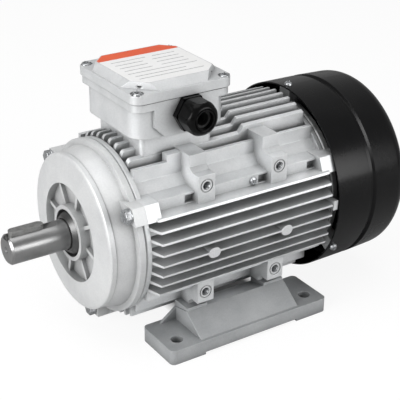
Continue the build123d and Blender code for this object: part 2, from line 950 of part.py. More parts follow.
with BuildPart() as fan_end_shield:
    shield_front_x = body_half_length
    fan_spigot_x = shield_front_x - register_depth + thread_step
    fan_pot_radius = bearing_radius + fan_pot_wall
    dish_x = fan_shield_face_x + fan_shield_wall
    revolve(
        outline(
            lengthwise,
            [
                (fan_seat_x, seal_outer_diameter / 2),
                (fan_seat_x, fan_pot_radius - bearing_corner),
                (fan_seat_x - bearing_corner, fan_pot_radius),
                (dish_x + fan_shield_wall, fan_pot_radius),
                (dish_x, spigot_radius - shield_wall / 2),
                (fan_shield_face_x, register_radius),
                (fan_shield_face_x, shield_flange_radius),
                (shield_front_x + joint_chamfer, shield_flange_radius),
                (shield_front_x, shield_flange_radius - joint_chamfer),
                (shield_front_x, spigot_radius),
                (fan_spigot_x, spigot_radius),
                (fan_spigot_x, spigot_radius - shield_wall),
                (dish_x - fan_shield_wall, spigot_radius - 2 * shield_wall),
                (dish_x, fan_pot_radius + shield_wall),
                (fan_bearing_x, fan_pot_radius),
                (fan_bearing_x, bearing_radius + slide_gap),
                (fan_shoulder_x, bearing_radius + slide_gap),
                (fan_shoulder_x, seal_outer_diameter / 2),
            ],
        ),
        axis=shaft_axis,
    )
    extrude(
        outlines(crosswise(shield_front_x), lug_sections()),
        amount=lug_shield_thickness,
    )
    with BuildSketch(crosswise(shield_front_x)):
        with PolarLocations(lug_circle_radius, lug_count, lug_start_angle):
            Circle(shield_bolt_diameter / 2 + bolt_gap)
    extrude(amount=2 * lug_shield_thickness, mode=Mode.SUBTRACT)
    # Pads that carry the cowl, each with a threaded hole
    with BuildSketch(crosswise(shield_front_x)):
        pad_inner = register_radius + fin_root_sink
        pad_outer = cowl_bore_radius + cowl_sheet
        with PolarLocations((pad_inner + pad_outer) / 2, cowl_pad_count, cowl_pad_start_angle):
            Rectangle(pad_outer - pad_inner, cowl_pad_width)
    extrude(amount=cowl_pad_length)
    revolve(
        outline(
            lengthwise,
            [
                (fan_spigot_x, 0),
                (fan_spigot_x, cowl_bore_radius - slide_gap),
                (fan_seat_x, cowl_bore_radius - slide_gap),
                (fan_seat_x, 0),
            ],
        ),
        axis=shaft_axis,
        mode=Mode.INTERSECT,
    )
    for angle in cowl_pad_angles:
        with BuildSketch(outward_plane(cowl_screw_x, cowl_bore_radius, angle)):
            Circle(cowl_screw_diameter / 2)
        extrude(amount=-cowl_screw_length, mode=Mode.SUBTRACT)
save(fan_end_shield, "fan_end_shield")


def shield_bolts(face_x, way, name):
    """Hexagon bolts with washers that hold an end shield; the heads point along way."""
    with BuildPart() as bolts:
        with BuildSketch(crosswise(face_x)):
            with PolarLocations(lug_circle_radius, lug_count, lug_start_angle):
                Circle(washer_radius)
        extrude(amount=way * washer_thickness)
        with BuildSketch(crosswise(face_x + way * washer_thickness)):
            with PolarLocations(lug_circle_radius, lug_count, lug_start_angle):
                RegularPolygon(hexagon_radius(shield_bolt_head_across), 6)
        extrude(amount=way * shield_bolt_head_height)
        with BuildSketch(crosswise(face_x)):
            with PolarLocations(lug_circle_radius, lug_count, lug_start_angle):
                Circle(shield_bolt_diameter / 2 - slide_gap)
        grip = min(shield_bolt_length, lug_shield_thickness + lug_fan_length - 2 * thread_step)
        extrude(amount=-way * grip)
    save(bolts, name)


shield_bolts(-body_half_length - lug_shield_thickness, -1, "drive_shield_bolts")
shield_bolts(body_half_length + lug_shield_thickness, 1, "fan_shield_bolts")


# Shaft, key and rotor

with BuildPart() as shaft:
    drive_radius = drive_diameter / 2
    core_seat_radius = core_seat_diameter / 2
    fan_seat_radius = fan_seat_diameter / 2
    drive_seat_x = drive_bearing_x + bearing_width
    revolve(
        outline(
            lengthwise,
            [
                (shaft_end_x, 0),
                (shaft_end_x, drive_radius - drive_chamfer),
                (shaft_end_x + drive_chamfer, drive_radius),
                (shoulder_x, drive_radius),
                (shoulder_x, bearing_bore_radius),
                (drive_seat_x, bearing_bore_radius),
                (drive_seat_x, core_seat_radius),
                (fan_bearing_x, core_seat_radius),
                (fan_bearing_x, bearing_bore_radius),
                (fan_seat_x, bearing_bore_radius),
                (fan_seat_x, fan_seat_radius),
                (circlip_x, fan_seat_radius),
                (circlip_x, fan_seat_radius - circlip_groove_depth),
                (circlip_x + circlip_thickness, fan_seat_radius - circlip_groove_depth),
                (circlip_x + circlip_thickness, fan_seat_radius),
                (shaft_tail_x - circlip_groove_depth, fan_seat_radius),
                (shaft_tail_x, fan_seat_radius - circlip_groove_depth),
                (shaft_tail_x, 0),
            ],
        ),
        axis=shaft_axis,
    )
    # Keyway, open at the shaft end and running out on a slope behind the key
    keyway_floor = drive_radius - key_depth
    key_back_x = shaft_end_x + key_setback + key_length
    extrude(
        outline(
            lengthwise,
            [
                (shaft_end_x - key_depth, keyway_floor),
                (key_back_x, keyway_floor),
                (key_back_x + keyway_runout, drive_radius),
                (key_back_x + keyway_runout, drive_radius + key_depth),
                (shaft_end_x - key_depth, drive_radius + key_depth),
            ],
        ),
        amount=key_width / 2 + slide_gap,
        both=True,
        mode=Mode.SUBTRACT,
    )
    # Centre drilling in the drive end
    drill_radius = centre_drill_diameter / 2
    revolve(
        outline(
            lengthwise,
            [
                (shaft_end_x, 0),
                (shaft_end_x, drill_radius),
                (shaft_end_x + drill_radius, drill_radius / 2),
                (shaft_end_x + centre_drill_depth, drill_radius / 2),
                (shaft_end_x + centre_drill_depth + drill_radius / 2, 0),
            ],
        ),
        axis=shaft_axis,
        mode=Mode.SUBTRACT,
    )
save(shaft, "shaft")

with BuildPart() as shaft_key:
    with BuildSketch(Plane.XY.offset(shaft_height + keyway_floor)):
        with Locations((shaft_end_x + key_setback + key_length / 2, 0)):
            SlotOverall(key_length, key_width)
    extrude(amount=key_height)
save(shaft_key, "shaft_key")

with BuildPart() as rotor_core:
    with BuildSketch(crosswise(-core_length / 2)):
        Circle(rotor_radius)
        Circle(core_seat_radius + slide_gap, mode=Mode.SUBTRACT)
        bar_circle = rotor_radius - cage_bar_cover - cage_bar_depth / 2
        with PolarLocations(bar_circle, cage_bar_count):
            Rectangle(cage_bar_depth, cage_bar_width, mode=Mode.SUBTRACT)
    extrude(amount=core_length)
save(rotor_core, "rotor_core")

with BuildPart() as rotor_cage:
    with BuildSketch(crosswise(-core_length / 2)):
        with PolarLocations(bar_circle, cage_bar_count):
            Rectangle(cage_bar_depth - 2 * slide_gap, cage_bar_width - 2 * slide_gap)
    extrude(amount=core_length)
    for end_x, way in ((-core_length / 2, -1), (core_length / 2, 1)):
        with BuildSketch(crosswise(end_x)):
            Circle(rotor_radius - slide_gap)
            Circle(rotor_radius - cage_ring_wall, mode=Mode.SUBTRACT)
        extrude(amount=way * cage_ring_length)
        with BuildSketch(crosswise(end_x + way * cage_ring_length)):
            with PolarLocations(bar_circle, cage_bar_count // 2):
                Rectangle(cage_bar_depth, cage_vane_thickness)
        extrude(amount=way * cage_vane_length)
save(rotor_cage, "rotor_cage")


# Ball bearings


def ball_bearing(front_x, prefix):
    """The rings, balls and cage of one deep-groove bearing, each as its own piece."""
    middle_x = front_x + bearing_width / 2
    back_x = front_x + bearing_width
    ball_radius = bearing_ball_diameter / 2
    groove_radius = ball_radius + running_gap
    inner_shoulder = bearing_bore_radius + bearing_ring_thickness
    outer_shoulder = bearing_radius - bearing_ring_thickness

    with BuildPart() as outer_ring:
        with BuildSketch(lengthwise):
            with BuildLine():
                Polyline(
                    (front_x, outer_shoulder),
                    (front_x, bearing_radius - bearing_corner),
                    (front_x + bearing_corner, bearing_radius),
                    (back_x - bearing_corner, bearing_radius),
                    (back_x, bearing_radius - bearing_corner),
                    (back_x, outer_shoulder),
                    close=True,
                )
            make_face()
            with Locations((middle_x, ball_circle_radius)):
                Circle(groove_radius, mode=Mode.SUBTRACT)
        revolve(axis=shaft_axis)
    save(outer_ring, f"{prefix}_bearing_outer_ring")

    with BuildPart() as inner_ring:
        with BuildSketch(lengthwise):
            with BuildLine():
                Polyline(
                    (front_x, inner_shoulder),
                    (front_x, bearing_bore_radius + slide_gap + bearing_corner),
                    (front_x + bearing_corner, bearing_bore_radius + slide_gap),
                    (back_x - bearing_corner, bearing_bore_radius + slide_gap),
                    (back_x, bearing_bore_radius + slide_gap + bearing_corner),
                    (back_x, inner_shoulder),
                    close=True,
                )
            make_face()
            with Locations((middle_x, ball_circle_radius)):
                Circle(groove_radius, mode=Mode.SUBTRACT)
        revolve(axis=shaft_axis)
    save(inner_ring, f"{prefix}_bearing_inner_ring")

    with BuildPart(crosswise(middle_x)) as balls:
        with PolarLocations(ball_circle_radius, bearing_ball_count):
            Sphere(ball_radius)
    save(balls, f"{prefix}_bearing_balls")

    with BuildPart(crosswise(middle_x)) as cage:
        with BuildSketch(crosswise(middle_x - bearing_cage_width / 2)):
            Circle(ball_circle_radius + bearing_cage_thickness / 2)
            Circle(ball_circle_radius - bearing_cage_thickness / 2, mode=Mode.SUBTRACT)
        extrude(amount=bearing_cage_width)
        with PolarLocations(ball_circle_radius, bearing_ball_count):
            Cylinder(
                groove_radius,
                2 * bearing_ball_diameter,
                rotation=(0, 90, 0),
                mode=Mode.SUBTRACT,
            )
    save(cage, f"{prefix}_bearing_cage")


ball_bearing(drive_bearing_x, "drive")
ball_bearing(fan_bearing_x, "fan")


# Shaft seals and preload spring


def shaft_seal(face_x, way, name):
    """A lip seal pressed into an end shield; its open side faces along way."""
    outer = seal_outer_diameter / 2 - slide_gap
    lip = bearing_bore_radius + 2 * slide_gap
    skin = seal_width / 4
    with BuildPart() as seal:
        revolve(
            outline(
                lengthwise,
                [
                    (face_x, outer),
                    (face_x + way * seal_width, outer),
                    (face_x + way * seal_width, outer - skin),
                    (face_x + way * skin, outer - skin),
                    (face_x + way * skin, lip + 2 * skin),
                    (face_x + way * (seal_width - skin), lip + skin),
                    (face_x + way * (seal_width - skin), lip),
                    (face_x + way * 2 * skin, lip),
                    (face_x, lip + skin),
                ],
            ),
            axis=shaft_axis,
        )
    save(seal, name)


shaft_seal(drive_bearing_x - seal_width, 1, "drive_shaft_seal")
shaft_seal(fan_seat_x, -1, "fan_shaft_seal")

# The ring turns with the shaft and throws water off ahead of the seal
with BuildPart() as shaft_v_ring:
    revolve(
        outline(
            lengthwise,
            [
                (v_ring_front_x, bearing_bore_radius + slide_gap),
                (v_ring_front_x, v_ring_front_radius),
                (v_ring_lip_x, v_ring_lip_radius),
                (v_ring_lip_x + v_ring_lip_thickness, v_ring_lip_radius),
                (v_ring_lip_x + v_ring_lip_thickness, v_ring_body_radius),
                (v_ring_back_x, v_ring_body_radius),
                (v_ring_back_x, bearing_bore_radius + slide_gap),
            ],
        ),
        axis=shaft_axis,
    )
save(shaft_v_ring, "shaft_v_ring")

with BuildPart() as preload_spring:
    spring_outer = bearing_radius - spring_radial_gap
    spring_inner = spring_outer - bearing_ring_thickness + spring_radial_gap
    spring_x = fan_bearing_x + bearing_width
    revolve(
        outline(
            lengthwise,
            [
                (spring_x, spring_outer),
                (spring_x + spring_thickness, spring_outer),
                (fan_shoulder_x, spring_inner),
                (fan_shoulder_x - spring_thickness, spring_inner),
            ],
        ),
        axis=shaft_axis,
    )
save(preload_spring, "preload_spring")


# Cooling fan and its circlip

with BuildPart() as cooling_fan:
    disc_x = fan_front_x + fan_disc_setback
    revolve(
        outline(
            lengthwise,
            [
                (fan_front_x, fan_seat_radius + slide_gap),
                (fan_front_x, fan_hub_radius),
                (disc_x, fan_hub_radius),
                (disc_x, fan_radius),
                (disc_x + fan_disc_thickness, fan_radius),
                (disc_x + fan_disc_thickness, fan_hub_radius),
                (fan_end_x, fan_hub_radius - bearing_corner),
                (fan_end_x, fan_seat_radius + slide_gap),
            ],
        ),
        axis=shaft_axis,
    )
    blade = [
        (disc_x + fan_disc_thickness / 2, fan_hub_radius - bearing_corner),
        (fan_end_x - 2 * fan_disc_thickness, fan_hub_radius - 2 * bearing_corner),
        (disc_x + fan_blade_length, fan_inlet_radius),
        (disc_x + fan_blade_length - fan_disc_thickness, fan_radius),
        (disc_x + fan_disc_thickness / 2, fan_radius),
    ]
    for turn in range(fan_blade_count):
        blade_plane = lengthwise_at(turn * 360 / fan_blade_count)
        extrude(outline(blade_plane, blade), amount=fan_blade_thickness / 2, both=True)
save(cooling_fan, "cooling_fan")

with BuildPart() as fan_circlip:
    with BuildSketch(crosswise(circlip_x + slide_gap)):
        Circle(circlip_radius)
        Circle(fan_seat_radius - circlip_groove_depth + slide_gap, mode=Mode.SUBTRACT)
        with Locations((0, circlip_radius)):
            Rectangle(circlip_mouth, circlip_radius, mode=Mode.SUBTRACT)
    extrude(amount=circlip_thickness - 2 * slide_gap)
save(fan_circlip, "fan_circlip")


# Fan cowl and its screws


def cowl_line(inset):
    """The points of the cowl's wall from front to back, moved inwards by inset."""
    half = cowl_groove_half_width
    slope = cowl_groove_slope
    return [
        (cowl_front_x, cowl_front_radius - inset),
        (cowl_groove_x - half - slope, cowl_mid_radius - inset),
        (cowl_groove_x - half, cowl_mid_radius - cowl_groove_depth - inset),
        (cowl_groove_x + half, cowl_mid_radius - cowl_groove_depth - inset),
        (cowl_groove_x + half + slope, cowl_mid_radius - inset),
        (cowl_back_x - inset, cowl_back_radius - inset),
        (cowl_back_x - inset, 0),
    ]


with BuildPart() as fan_cowl:
    with BuildSketch(lengthwise) as cowl_wall:
        with BuildLine():
            Polyline(*cowl_line(0), *reversed(cowl_line(cowl_sheet)), close=True)
        make_face()
        outer_corner = cowl_wall.vertices().sort_by_distance(
            (cowl_back_x, cowl_back_radius, 0)
        )[0]
        fillet(outer_corner, radius=cowl_corner)
        inner_corner = cowl_wall.vertices().sort_by_distance(
            (cowl_back_x - cowl_sheet, cowl_back_radius - cowl_sheet, 0)
        )[0]
        fillet(inner_corner, radius=cowl_corner - cowl_sheet)
    revolve(axis=shaft_axis)
    # Air inlet: rings of arc slots between spokes
    with BuildSketch(crosswise(cowl_back_x)):
        for ring in reversed(range(grille_ring_count)):
            slot_inner = grille_centre_radius + ring * (grille_slot_width + grille_bar_width)
            Circle(slot_inner + grille_slot_width)
            Circle(slot_inner, mode=Mode.SUBTRACT)
        with PolarLocations(0, grille_spoke_count // 2):
            Rectangle(2 * cowl_back_radius, grille_spoke_width, mode=Mode.SUBTRACT)
    extrude(amount=-2 * cowl_sheet, mode=Mode.SUBTRACT)
    for angle in cowl_pad_angles:
        with BuildSketch(outward_plane(cowl_screw_x, cowl_front_radius, angle)):
            Circle(cowl_screw_diameter / 2 + bolt_gap)
        extrude(amount=-2 * cowl_sheet, mode=Mode.SUBTRACT)
save(fan_cowl, "fan_cowl")

with BuildPart() as cowl_screws:
    for angle in cowl_pad_angles:
        with BuildSketch(outward_plane(cowl_screw_x, cowl_front_radius, angle)):
            Circle(cowl_screw_head_radius)
        extrude(amount=cowl_screw_head_height)
        with BuildSketch(outward_plane(cowl_screw_x, cowl_front_radius, angle)):
            Circle(cowl_screw_diameter / 2 - slide_gap)
        extrude(amount=-(cowl_screw_length - thread_step))
save(cowl_screws, "cowl_screws")


# Terminal box, its lid and gaskets


def box_rectangle(length, width, corner, mode=Mode.ADD):
    """A rounded rectangle about the middle of the terminal box, in the open sketch."""
    with Locations((box_centre_x, 0)):
        RectangleRounded(length, width, corner, mode=mode)


with BuildPart() as box_gasket:
    with BuildSketch(Plane.XY.offset(box_bottom_z)):
        box_rectangle(pedestal_length, pedestal_width, pedestal_corner)
        box_rectangle(
            pedestal_length - 2 * pedestal_wall,
            pedestal_width - 2 * pedestal_wall,
            pedestal_corner,
            mode=Mode.SUBTRACT,
        )
        with Locations((box_centre_x, 0)):
            with GridLocations(box_screw_pitch_x, box_screw_pitch_y, 2, 2):
                Circle(box_screw_diameter / 2 + bolt_gap, mode=Mode.SUBTRACT)
    extrude(amount=gasket_thickness)
save(box_gasket, "box_gasket")

flange_length = lid_length - 2 * box_flange_inset
flange_width = lid_width - 2 * box_flange_inset
cavity_length = box_length - 2 * box_wall
cavity_width = box_width - 2 * box_wall

with BuildPart() as terminal_box:
    with BuildSketch(Plane.XY.offset(box_base_z)):
        box_rectangle(box_length, box_width, box_corner)
    extrude(amount=box_top_z - box_base_z)
    with BuildSketch(Plane.XY.offset(box_top_z)):
        box_rectangle(flange_length, flange_width, lid_corner)
    extrude(amount=-box_flange_height)
    # Flat entry panels on both sides, with their lower corners cut off
    panel_x = box_centre_x + panel_shift_x
    left = panel_x - panel_length / 2
    right = panel_x + panel_length / 2
    panel = [
        (left, box_top_z - shaft_height),
        (left, box_base_z + panel_cut - shaft_height),
        (left + panel_cut, box_base_z - shaft_height),
        (right - panel_cut, box_base_z - shaft_height),
        (right, box_base_z + panel_cut - shaft_height),
        (right, box_top_z - shaft_height),
    ]
    extrude(outline(lengthwise, panel), amount=panel_face_y, both=True)
    # Cavity, with a window in the floor for the leads
    with BuildSketch(Plane.XY.offset(box_top_z)):
        box_rectangle(cavity_length, cavity_width, box_corner - box_wall)
    extrude(amount=-(box_top_z - box_floor_z), mode=Mode.SUBTRACT)
    with BuildSketch(Plane.XY.offset(box_base_z)):
        with Locations((floor_window_x + floor_window_length / 2, 0)):
            Rectangle(floor_window_length, lead_window_width)
        with Locations((box_centre_x, 0)):
            with GridLocations(box_screw_pitch_x, box_screw_pitch_y, 2, 2):
                Circle(box_screw_diameter / 2 + bolt_gap)
    extrude(amount=box_floor, mode=Mode.SUBTRACT)
    # Lid screw holes and the cable entry
    with BuildSketch(Plane.XY.offset(box_top_z)):
        with Locations((box_centre_x, 0)):
            with GridLocations(lid_screw_pitch_x, lid_screw_pitch_y, 2, 2):
                Circle(lid_screw_diameter / 2)
    extrude(amount=-box_flange_height, mode=Mode.SUBTRACT)
    with BuildSketch(facing_side(panel_face_y, -1)):
        with Locations((gland_x, gland_z)):
            Circle(gland_hole_radius)
    extrude(amount=-2 * (panel_face_y - cavity_width / 2), mode=Mode.SUBTRACT)
save(terminal_box, "terminal_box")

with BuildPart() as lid_gasket:
    with BuildSketch(Plane.XY.offset(box_top_z)):
        box_rectangle(flange_length, flange_width, lid_corner)
        box_rectangle(cavity_length, cavity_width, box_corner - box_wall, mode=Mode.SUBTRACT)
        with Locations((box_centre_x, 0)):
            with GridLocations(lid_screw_pitch_x, lid_screw_pitch_y, 2, 2):
                Circle(lid_screw_diameter / 2 + bolt_gap, mode=Mode.SUBTRACT)
    extrude(amount=gasket_thickness)
save(lid_gasket, "lid_gasket")


def octagon_points(length, width, cut):
    """A rectangle about the middle of the box with its four corners cut off."""
    x = length / 2
    y = width / 2
    corners = [
        (x - cut, -y),
        (x, -y + cut),
        (x, y - cut),
        (x - cut, y),
        (-x + cut, y),
        (-x, y - cut),
        (-x, -y + cut),
        (-x + cut, -y),
    ]
    return [(box_centre_x + px, py) for px, py in corners]


with BuildPart() as terminal_box_lid:
    with BuildSketch(Plane.XY.offset(lid_bottom_z)):
        box_rectangle(lid_length, lid_width, lid_corner)
    extrude(amount=lid_rim_height)
    # Raised panel with sloping flanks that leave the corners free for the screws
    loft(
        [
            outline(
                Plane.XY.offset(lid_rim_top_z),
                octagon_points(lid_base_length, lid_base_width, lid_base_cut),
            ),
            outline(
                Plane.XY.offset(lid_top_z),
                octagon_points(lid_panel_length, lid_panel_width, lid_panel_cut),
            ),
        ]
    )
    with BuildSketch(Plane.XY.offset(lid_bottom_z)):
        box_rectangle(
            lid_panel_length - lid_wall,
            lid_panel_width - lid_wall,
            box_corner - box_wall,
        )
    extrude(amount=lid_top_z - lid_bottom_z - lid_wall, mode=Mode.SUBTRACT)
    with BuildSketch(Plane.XY.offset(lid_bottom_z)):
        with Locations((box_centre_x, 0)):
            with GridLocations(lid_screw_pitch_x, lid_screw_pitch_y, 2, 2):
                Circle(lid_screw_diameter / 2 + bolt_gap)
    extrude(amount=lid_rim_height, mode=Mode.SUBTRACT)
    # A round seat for each screw head, open to the top
    with BuildSketch(Plane.XY.offset(lid_seat_z)):
        with Locations((box_centre_x, 0)):
            with GridLocations(lid_screw_pitch_x, lid_screw_pitch_y, 2, 2):
                Circle(lid_screw_seat_radius)
    extrude(amount=lid_top_z - lid_seat_z, mode=Mode.SUBTRACT)
save(terminal_box_lid, "terminal_box_lid")


def grid_screws(seat, centre_x, pitch_x, pitch_y, diameter, length, head_radius, head_height):
    """Four pan-head screws that point down from a level seat."""
    with BuildPart() as screws:
        with BuildSketch(Plane.XY.offset(seat)):
            with Locations((centre_x, 0)):
                with GridLocations(pitch_x, pitch_y, 2, 2):
                    Circle(head_radius)
        extrude(amount=head_height)
        chamfer(screws.edges().group_by(Axis.Z)[-1], length=head_height / 3)
        with BuildSketch(Plane.XY.offset(seat)):
            with Locations((centre_x, 0)):
                with GridLocations(pitch_x, pitch_y, 2, 2):
                    Circle(diameter / 2 - slide_gap)
        extrude(amount=-length)
    return screws


lid_screws = grid_screws(
    lid_seat_z,
    box_centre_x,
    lid_screw_pitch_x,
    lid_screw_pitch_y,
    lid_screw_diameter,
    lid_screw_length,
    lid_screw_head_radius,
    lid_screw_head_height,
)
save(lid_screws, "lid_screws")

box_screws = grid_screws(
    box_floor_z,
    box_centre_x,
    box_screw_pitch_x,
    box_screw_pitch_y,
    box_screw_diameter,
    box_screw_length - thread_step,
    box_screw_head_radius,
    box_screw_head_height,
)
save(box_screws, "box_screws")


# Terminal board with its studs, nuts and links

with BuildPart() as terminal_board:
    with BuildSketch(Plane.XY.offset(box_floor_z)):
        with Locations((board_centre_x, 0)):
            Rectangle(board_length, board_width)
    extrude(amount=board_height)
    # Walls between the three phases
    with BuildSketch(Plane.XY.offset(box_floor_z + board_height)):
        with Locations((board_centre_x, 0)):
            with GridLocations(0, stud_pitch_y, 1, 4):
                Rectangle(board_length, board_rib_width)
    extrude(amount=board_rib_height)
    with BuildSketch(Plane.XY.offset(box_floor_z + board_height)):
        with Locations((board_centre_x, 0)):
            with GridLocations(stud_pitch_x, stud_pitch_y, 2, 3):
                Circle(stud_diameter / 2 + slide_gap)
    extrude(amount=-board_height / 2, mode=Mode.SUBTRACT)
save(terminal_board, "terminal_board")

with BuildPart() as terminal_studs:
    stud_base_z = box_floor_z + board_height / 2
    link_z = box_floor_z + board_height
    nut_z = link_z + link_thickness
    with BuildSketch(Plane.XY.offset(stud_base_z)):
        with Locations((board_centre_x, 0)):
            with GridLocations(stud_pitch_x, stud_pitch_y, 2, 3):
                Circle(stud_diameter / 2)
    extrude(amount=stud_height)
    with BuildSketch(Plane.XY.offset(nut_z)):
        with Locations((board_centre_x, 0)):
            with GridLocations(stud_pitch_x, stud_pitch_y, 2, 3):
                RegularPolygon(hexagon_radius(nut_across), 6)
    extrude(amount=nut_height)
save(terminal_studs, "terminal_studs")

with BuildPart() as terminal_links:
    with BuildSketch(Plane.XY.offset(link_z)):
        with Locations((board_centre_x, 0)):
            with GridLocations(0, stud_pitch_y, 1, 3):
                SlotOverall(link_length, link_width)
            with GridLocations(stud_pitch_x, stud_pitch_y, 2, 3):
                Circle(stud_diameter / 2 + slide_gap, mode=Mode.SUBTRACT)
    extrude(amount=link_thickness)
save(terminal_links, "terminal_links")


# Cable gland


def gland_plane(out):
    """A plane across the gland's axis, this far out of the entry panel."""
    origin = (gland_x, -panel_face_y - out, gland_z)
    return Plane(origin=origin, x_dir=(1, 0, 0), z_dir=(0, -1, 0))


gland_axis = Axis((gland_x, 0, gland_z), (0, -1, 0))
gland_section = Plane(origin=(gland_x, -panel_face_y, gland_z), x_dir=(0, -1, 0), z_dir=(-1, 0, 0))
cap_base = gland_flange_thickness + gland_cap_gap
cap_shoulder = cap_base + gland_cap_hex_length
cap_end = cap_shoulder + gland_dome_length
neck_end = cap_shoulder + gland_cap_wall
wall_depth = panel_face_y - cavity_width / 2

with BuildPart() as gland_body:
    with BuildSketch(gland_plane(0)):
        RegularPolygon(hexagon_radius(gland_hex_across), 6)
    extrude(amount=gland_flange_thickness)
    with BuildSketch(gland_plane(-gland_thread_inside)):
        Circle(gland_thread_radius)
    extrude(amount=gland_thread_inside + neck_end)
    with BuildSketch(gland_plane(-gland_thread_inside)):
        Circle(gland_bore_radius)
    extrude(amount=gland_thread_inside + neck_end, mode=Mode.SUBTRACT)
save(gland_body, "gland_body")

with BuildPart() as gland_locknut:
    with BuildSketch(gland_plane(-wall_depth)):
        RegularPolygon(hexagon_radius(locknut_across), 6)
        Circle(gland_thread_radius + slide_gap, mode=Mode.SUBTRACT)
    extrude(amount=-locknut_thickness)
save(gland_locknut, "gland_locknut")

with BuildPart() as gland_seal:
    with BuildSketch(gland_plane(neck_end - gland_seal_length + gland_cap_wall)):
        Circle(gland_bore_radius - slide_gap)
        Circle(gland_seal_bore_radius, mode=Mode.SUBTRACT)
    extrude(amount=gland_seal_length)
save(gland_seal, "gland_seal")

with BuildPart() as gland_cap_nut:
    with BuildSketch(gland_plane(cap_base)):
        RegularPolygon(hexagon_radius(gland_hex_across), 6)
    extrude(amount=gland_cap_hex_length)
    # Domed nose, hollowed for the neck and the rubber seal
    with BuildSketch(gland_section) as nose_section:
        with BuildLine():
            Polyline(
                (cap_shoulder - gland_cap_wall, 0),
                (cap_shoulder - gland_cap_wall, gland_hex_across / 2),
                (cap_shoulder, gland_hex_across / 2),
                (cap_shoulder + gland_dome_length / 3, gland_hex_across / 2 - thread_step),
                (cap_end, gland_end_radius),
                (cap_end, 0),
                close=True,
            )
        make_face()
        nose_rim = nose_section.vertices().sort_by_distance((cap_end, gland_end_radius, 0))
        fillet(nose_rim[:1], radius=gland_nose_round)
    revolve(axis=gland_axis)
    revolve(
        outline(
            gland_section,
            [
                (cap_base, 0),
                (cap_base, gland_thread_radius + slide_gap),
                (neck_end + gland_cap_wall, gland_thread_radius + slide_gap),
                (cap_end - gland_cap_wall, gland_mouth_radius),
                (cap_end, gland_mouth_radius),
                (cap_end, 0),
            ],
        ),
        axis=gland_axis,
        mode=Mode.SUBTRACT,
    )
save(gland_cap_nut, "gland_cap_nut")


# Feet and their bolts


def foot(side, name):
    """One bolted-on foot: a plate with a sloping web, two seats and two gussets."""
    middle_y = side * (foot_outer_y + foot_inner_y) / 2
    with BuildPart() as piece:
        with BuildSketch(Plane.XY):
            with Locations((0, middle_y)):
                RectangleRounded(foot_length, foot_outer_y - foot_inner_y, foot_corner)
        extrude(amount=foot_plate)
        web = [
            (side * web_slope_foot_y, foot_plate - shaft_height),
            (side * web_slope_top_y, web_slope_top_z - shaft_height),
            (side * web_inner_y, web_inner_z - shaft_height),
            (side * web_inner_y, foot_plate - shaft_height),
        ]
        extrude(outline(crosswise(-web_half_length), web), amount=2 * web_half_length)
        # Seats for the housing
        seat = [
            (side * web_slope_top_y, foot_plate - shaft_height),
            (side * web_slope_top_y, seat_z - shaft_height),
            (side * web_inner_y, seat_z - shaft_height),
            (side * web_inner_y, foot_plate - shaft_height),
        ]
        for x in (-seat_x, seat_x):
            extrude(outline(crosswise(x - seat_length / 2), seat), amount=seat_length)
        # Gussets on the inner edge, at both ends of the web
        for way in (-1, 1):
            gusset = [
                (way * (web_half_length + gusset_length), foot_plate - shaft_height),
                (way * web_half_length, foot_plate - shaft_height),
                (way * web_half_length, web_inner_z - shaft_height),
            ]
            gusset_plane = lengthwise.offset(-side * web_inner_y)
            extrude(outline(gusset_plane, gusset), amount=-side * gusset_thickness)
        # Relief under the middle, holding-down holes and bolt holes
        with BuildSketch(Plane.XY):
            with Locations((0, middle_y)):
                Rectangle(2 * relief_half_length, 2 * foot_outer_y)
        extrude(amount=relief_depth, mode=Mode.SUBTRACT)
        with BuildSketch(Plane.XY):
            with Locations((0, side * foot_pitch_y / 2)):
                with GridLocations(foot_pitch_x, 0, 2, 1):
                    Circle(foot_hole_diameter / 2)
        extrude(amount=foot_plate, mode=Mode.SUBTRACT)
        with BuildSketch(Plane.XY):
            with Locations((0, side * foot_bolt_y)):
                with GridLocations(boss_pitch_x, 0, 2, 1):
                    Circle(foot_bolt_diameter / 2 + bolt_gap)
        extrude(amount=seat_z, mode=Mode.SUBTRACT)
        with BuildSketch(Plane.XY):
            with Locations((0, side * foot_bolt_y)):
                with GridLocations(boss_pitch_x, 0, 2, 1):
                    Circle(foot_bolt_head_radius + bolt_gap)
        extrude(amount=foot_bolt_sink, mode=Mode.SUBTRACT)
    save(piece, name)


foot(-1, "foot_gland_side")
foot(1, "foot_far_side")

with BuildPart() as foot_bolts:
    with BuildSketch(Plane.XY.offset(foot_bolt_sink)):
        with GridLocations(boss_pitch_x, 2 * foot_bolt_y, 2, 2):
            Circle(foot_bolt_head_radius)
    extrude(amount=-foot_bolt_head_height)
    with BuildSketch(Plane.XY.offset(foot_bolt_sink)):
        with GridLocations(boss_pitch_x, 2 * foot_bolt_y, 2, 2):
            Circle(foot_bolt_diameter / 2 - slide_gap)
    extrude(amount=foot_bolt_end_z - foot_bolt_sink)
    with BuildSketch(Plane.XY.offset(foot_bolt_sink - foot_bolt_head_height)):
        with GridLocations(boss_pitch_x, 2 * foot_bolt_y, 2, 2):
            RegularPolygon(hexagon_radius(foot_bolt_socket_across), 6)
    extrude(amount=foot_bolt_socket_depth, mode=Mode.SUBTRACT)
save(foot_bolts, "foot_bolts")


# Earth screw on the rail beside the cable gland

with BuildPart() as earth_screw:
    with BuildSketch(facing_side(rail_side_y, -1)):
        with Locations((earth_screw_x, pocket_z)):
            Circle(earth_screw_head_radius)
    extrude(amount=earth_screw_head_height)
    with BuildSketch(facing_side(rail_side_y, -1)):
        with Locations((earth_screw_x, pocket_z)):
            Circle(earth_screw_diameter / 2 - slide_gap)
    extrude(amount=-(earth_screw_length - thread_step))
save(earth_screw, "earth_screw")
